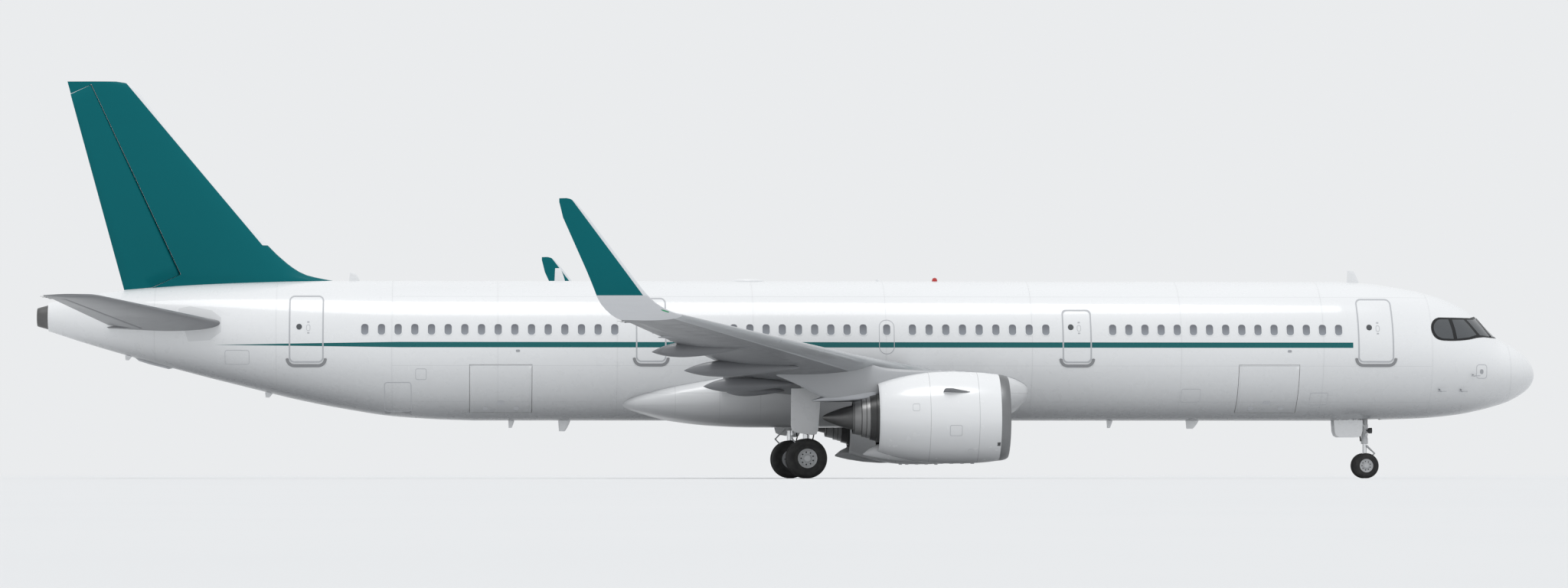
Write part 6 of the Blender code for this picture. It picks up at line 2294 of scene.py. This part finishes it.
@dataclass
class NoseGear:
    """The nose gear: leg with drag stay, steering actuators, lights, doors, piston and wheels."""

    x: float = 5.07
    foot: float = 1.02
    roof: float = 2.45

    def build(self) -> None:
        """Builds the nose gear."""
        x, z = self.x, 0.38 * cos(pi / 20)
        leg = Body()
        leg.turned([(self.foot, 0.0), (self.foot, 0.098), (self.foot + 0.02, 0.105), (self.foot + 0.16, 0.105),
                    (self.foot + 0.18, 0.092), (1.45, 0.092), (1.47, 0.108), (1.6, 0.108), (1.62, 0.096), (2.0, 0.1),
                    (2.44, 0.1), (2.44, 0.0)], (x, 0.0, 0.0), "z", 48)
        leg.tube([(x, -0.28, 2.36), (x, 0.28, 2.36)], 0.06, 24)
        for side in (-1, 1):
            leg.tube([(x, side * 0.09, 1.52), (x + 0.4, side * 0.14, 1.95), (x + 0.82, side * 0.2, 2.38)], 0.035, 16)
            leg.tube([(x - 0.02, side * 0.1, 1.3), (x - 0.02, side * 0.25, 1.3)], 0.045, 20)
        leg.tube([(x + 0.4, -0.16, 1.95), (x + 0.4, 0.16, 1.95)], 0.04, 16)
        ride(rounded(leg.object("nose_leg_casting", GEAR), 0.002), GEAR, "nose_leg")
        lamps, cups = Body(), Body()
        for side in (-1, 1):
            place = (x - 0.14, side * 0.12, 1.42)
            glass = [(-0.058, 0.0), (-0.052, 0.04), (-0.045, 0.068), (-0.03, 0.068), (-0.03, 0.0)]
            lamps.turned(glass, place, "x", 32)
            cups.turned([(-0.05, 0.07), (-0.06, 0.08), (-0.045, 0.087), (0.01, 0.075), (0.04, 0.045), (0.05, 0.0),
                         (-0.02, 0.0), (-0.02, 0.07)], place, "x", 32)
            cups.tube([(x - 0.11, side * 0.12, 1.42), (x, side * 0.03, 1.42)], 0.02, 12)
        lamps.put("taxi_lights", CLEAR_LENS)
        cups.put("taxi_light_cups", DARK)
        pipes = Body()
        for side in (-1, 1):
            pipes.tube([(x + 0.09, side * 0.05, 2.3), (x + 0.115, side * 0.05, 1.9), (x + 0.11, side * 0.06, 1.5),
                        (x + 0.13, side * 0.06, 1.28), (x + 0.115, side * 0.05, 1.1)], 0.012, 10)
        pipes.put("nose_gear_hoses", HOSE)
        piston = Body().tube([(x, 0, z + 0.03), (x, 0, self.foot + 0.349)], 0.065, 48)
        piston.put("nose_piston_tube", CHROME, body="nose_steering")
        fork = Body()
        fork.turned([(-0.1, 0.0457), (-0.1, 0.08), (-0.085, 0.086), (0.085, 0.086), (0.1, 0.08), (0.1, 0.0457)],
                    (x, 0.0, z), "y", 48)
        fork.tube([(x, 0, z + 0.05), (x, 0, z + 0.16), (x, 0, z + 0.22)], [0.082, 0.08, 0.067], 32)
        torque_link(fork, x - 0.07, 0.0, self.foot - 0.06, z + 0.15, -0.22, 0.14)
        fork.put("nose_axle_fork", GEAR, "nose_piston", body="nose_steering")
        nodes = ("nose_wheel_rims", "nose_wheel_tyre_a", "nose_wheel_tyre_b")
        Wheels("nose", "nose_wheels", nodes, (x, 0.0, z), 0.25, 0.3754, 0.22, 0.2, 0.045,
               grooves=(-0.35, 0.0, 0.35)).build()
        for side in Side:
            node = f"nose_gear_door_{side.letter}"
            outline = [(5.17, 1.735), (6.03, 1.735), (6.01, 1.4), (5.97, 1.27), (5.88, 1.22), (5.3, 1.22),
                       (5.22, 1.27), (5.18, 1.4)]
            door = Body().plate(outline, side.sign * 0.27, side.sign * 0.295)
            for lug in (5.35, 5.55, 5.85):
                door.plate([(lug - 0.03, 1.6), (lug + 0.03, 1.6), (lug + 0.03, 1.9), (lug - 0.03, 1.9)],
                           side.sign * 0.262, side.sign * 0.2994)
            ride(rounded(door.object(node + "_panel", WHITE), 0.002), WHITE, node)


@dataclass
class MainGear:
    """One main gear: strut, side stay, torque links, brakes, hoses, door and wheels."""

    side: Side
    x: float = 21.98
    y: float = 3.795
    foot: float = 1.45

    def build(self) -> None:
        """Builds the main gear."""
        sign, letter = self.side.sign, self.side.letter
        x, y, z = self.x, self.side.sign * self.y, 0.585 * cos(pi / 20)
        leg = Body()
        leg.turned([(self.foot, 0.0), (self.foot, 0.15), (self.foot + 0.03, 0.162), (self.foot + 0.14, 0.162),
                    (self.foot + 0.17, 0.142), (2.1, 0.142), (2.13, 0.165), (2.3, 0.165), (2.34, 0.15), (2.95, 0.15),
                    (3.1, 0.13), (3.1, 0.0)], (x, y, 0.0), "z", 48)
        leg.turned([(-0.16, 0.0757), (-0.16, 0.12), (-0.14, 0.13), (0.14, 0.13), (0.16, 0.12), (0.16, 0.0757)],
                   (x, y, z), "y", 48)
        leg.tube([(x, y, z + 0.09), (x, y, z + 0.24), (x, y, z + 0.33)], [0.125, 0.12, 0.102], 40)
        leg.tube([(x, y - sign * 0.1, 1.72), (x - 0.1, y - sign * 0.6, 2.3)], [0.07, 0.055], 24)
        leg.tube([(x - 0.1, y - sign * 0.6, 2.3), (x - 0.25, y - sign * 1.3, 3.05)], [0.05, 0.065], 24)
        leg.tube([(x - 0.16, y - sign * 0.62, 2.3), (x - 0.04, y - sign * 0.58, 2.3)], 0.085, 24)
        leg.tube([(x + 0.05, y - sign * 0.12, 2.62), (x + 0.02, y - sign * 0.58, 2.34)], 0.035, 16)
        torque_link(leg, x + 0.14, y, 1.52, 0.86, 0.3, 0.2)
        leg.tube([(x + 0.1, y, 1.52), (x + 0.16, y, 1.52)], 0.05, 16)
        leg.tube([(x + 0.07, y, 0.86), (x + 0.16, y, 0.86)], 0.05, 16)
        piece = rounded(leg.object(f"main_gear_strut_{letter}", GEAR), 0.002)
        ride(piece, GEAR, f"main_leg_{letter}")
        brakes = Body()
        for way in (-1, 1):
            brakes.turned([(way * a, r) for a, r in ((0.235, 0.0757), (0.235, 0.185), (0.25, 0.2), (0.335, 0.205),
                                                     (0.352, 0.19), (0.352, 0.0757))], (x, y, z), "y", 48)
            for k in range(6):
                turn = tau * (k + 0.5) / 6
                cx, cz = x + 0.145 * cos(turn), z + 0.145 * sin(turn)
                brakes.tube([(cx, y + way * 0.205, cz), (cx, y + way * 0.24, cz)], 0.032, 12)
        brakes.put(f"brakes_{letter}", DARK)
        chrome = Body().tube([(x, y, z + 0.2), (x, y, self.foot + 0.2)], 0.1, 48)
        chrome.put(f"main_piston_{letter}", CHROME)
        hoses = Body()
        for side in (-1, 1):
            hoses.tube([(x - 0.14, y + side * 0.06, 2.9), (x - 0.19, y + side * 0.07, 2.2),
                        (x - 0.18, y + side * 0.06, 1.6), (x - 0.22, y + side * 0.08, 1.25),
                        (x - 0.15, y + side * 0.1, 0.95), (x - 0.12, y + side * 0.14, 0.72)], 0.014, 10)
        hoses.put(f"brake_hoses_{letter}", HOSE)
        name = f"main_wheel_{letter}"
        Wheels(name, f"main_wheels_{letter}", (name + "_rims", name + "_tyre_a", name + "_tyre_b"), (x, y, z), 0.465,
               0.5777, 0.42, 0.28, 0.075).build()
        inner, outer = y + sign * 0.26, y + sign * 0.3
        outline = [(x - 0.42, 2.6), (x + 0.45, 2.6), (x + 0.46, 1.52), (x + 0.42, 1.38), (x + 0.3, 1.32),
                   (x - 0.18, 1.25), (x - 0.28, 1.28), (x - 0.33, 1.4)]
        door = Body().plate(outline, inner, outer)
        for height in (1.6, 2.25):
            door.tube([(x, y + sign * 0.155, height), (x, inner + sign * 0.02, height)], 0.035, 16)
        node = f"main_leg_door_{letter}"
        ride(rounded(door.object(node + "_panel", WHITE), 0.003), WHITE, node)


@dataclass
class Studio:
    """The pale floor, the soft lights and the camera at the photograph's viewing angle."""

    distance: float = 75.0
    abeam: float = -4.62
    shift: float = 0.1
    yaw: float = 1.697
    tilt: float = 2.05
    lens: float = 116.06
    height: float = 0.05
    surround: float = 0.85
    overhead: float = 1.1

    def floor(self) -> None:
        """A wide plain floor."""
        mesh = bmesh.new()
        bmesh.ops.create_grid(mesh, x_segments=2, y_segments=2, size=260.0)
        data = bpy.data.meshes.new("floor")
        mesh.to_mesh(data)
        mesh.free()
        made = bpy.data.objects.new("floor", data)
        bpy.context.scene.collection.objects.link(made)
        box = Paintbox("floor_paint")
        box.feed(Base_Color=box.mix(box.noise(0.6, 3.0), (0.68, 0.69, 0.7), (0.71, 0.715, 0.72)))
        box.feed(Roughness=box.noise(2.0, 3.0) * 0.1 + 0.7)
        data.materials.append(box.material)

    def sun(self, name: str, towards: Point, strength: float, spread: float) -> None:
        """A broad even light.

        Args:
            name: Its name.
            towards: The way its light goes.
            strength: Its strength.
            spread: The angle of its source in degrees, wide for soft shadows.
        """
        data = bpy.data.lights.new(name, "SUN")
        data.energy = strength
        data.angle = radians(spread)
        made = bpy.data.objects.new(name, data)
        made.rotation_euler = Vector(towards).to_track_quat("-Z", "Y").to_euler()
        bpy.context.scene.collection.objects.link(made)

    def light(self) -> None:
        """A pale surround and one broad light from above, a little from the camera's side."""
        world = bpy.data.worlds.new("studio")
        world.use_nodes = True
        shade = world.node_tree.nodes["Background"]
        shade.inputs["Color"].default_value = (0.97, 0.985, 1.0, 1.0)
        shade.inputs["Strength"].default_value = self.surround
        bpy.context.scene.world = world
        bpy.context.scene.view_settings.view_transform = "Standard"
        self.sun("overhead", (0.05, 0.35, -1.0), self.overhead, 28.0)

    def camera(self) -> None:
        """The camera, level with the wheels and abeam of the rear cabin, looking square to the fuselage."""
        data = bpy.data.cameras.new("camera")
        data.sensor_width = 36.0
        data.lens = self.lens
        data.shift_x = self.shift
        data.clip_end = 600.0
        made = bpy.data.objects.new("camera", data)
        made.location = (self.abeam, -self.distance, self.height)
        made.rotation_euler = (radians(90.0 + self.tilt), 0.0, radians(-self.yaw))
        bpy.context.scene.collection.objects.link(made)
        bpy.context.scene.camera = made

    def build(self) -> None:
        """Floor, lights and camera."""
        self.floor()
        self.light()
        self.camera()


def main() -> None:
    """Builds the sub-assemblies in order and reports each piece."""
    logging.basicConfig(level=logging.INFO, format="%(message)s")
    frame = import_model()
    LOG.info("%d nodes in the frame", len(frame["nodes"]))
    Studio().build()
    repeat = Repeat()
    Fuselage(repeat).build()
    BellyFairing().build()
    Tail(repeat).build()
    NoseGear().build()
    for side in Side:
        MainGear(side).build()
        Wing(side, repeat).build()
        Engine(side, repeat).build()


if __name__ == "__main__":
    main()
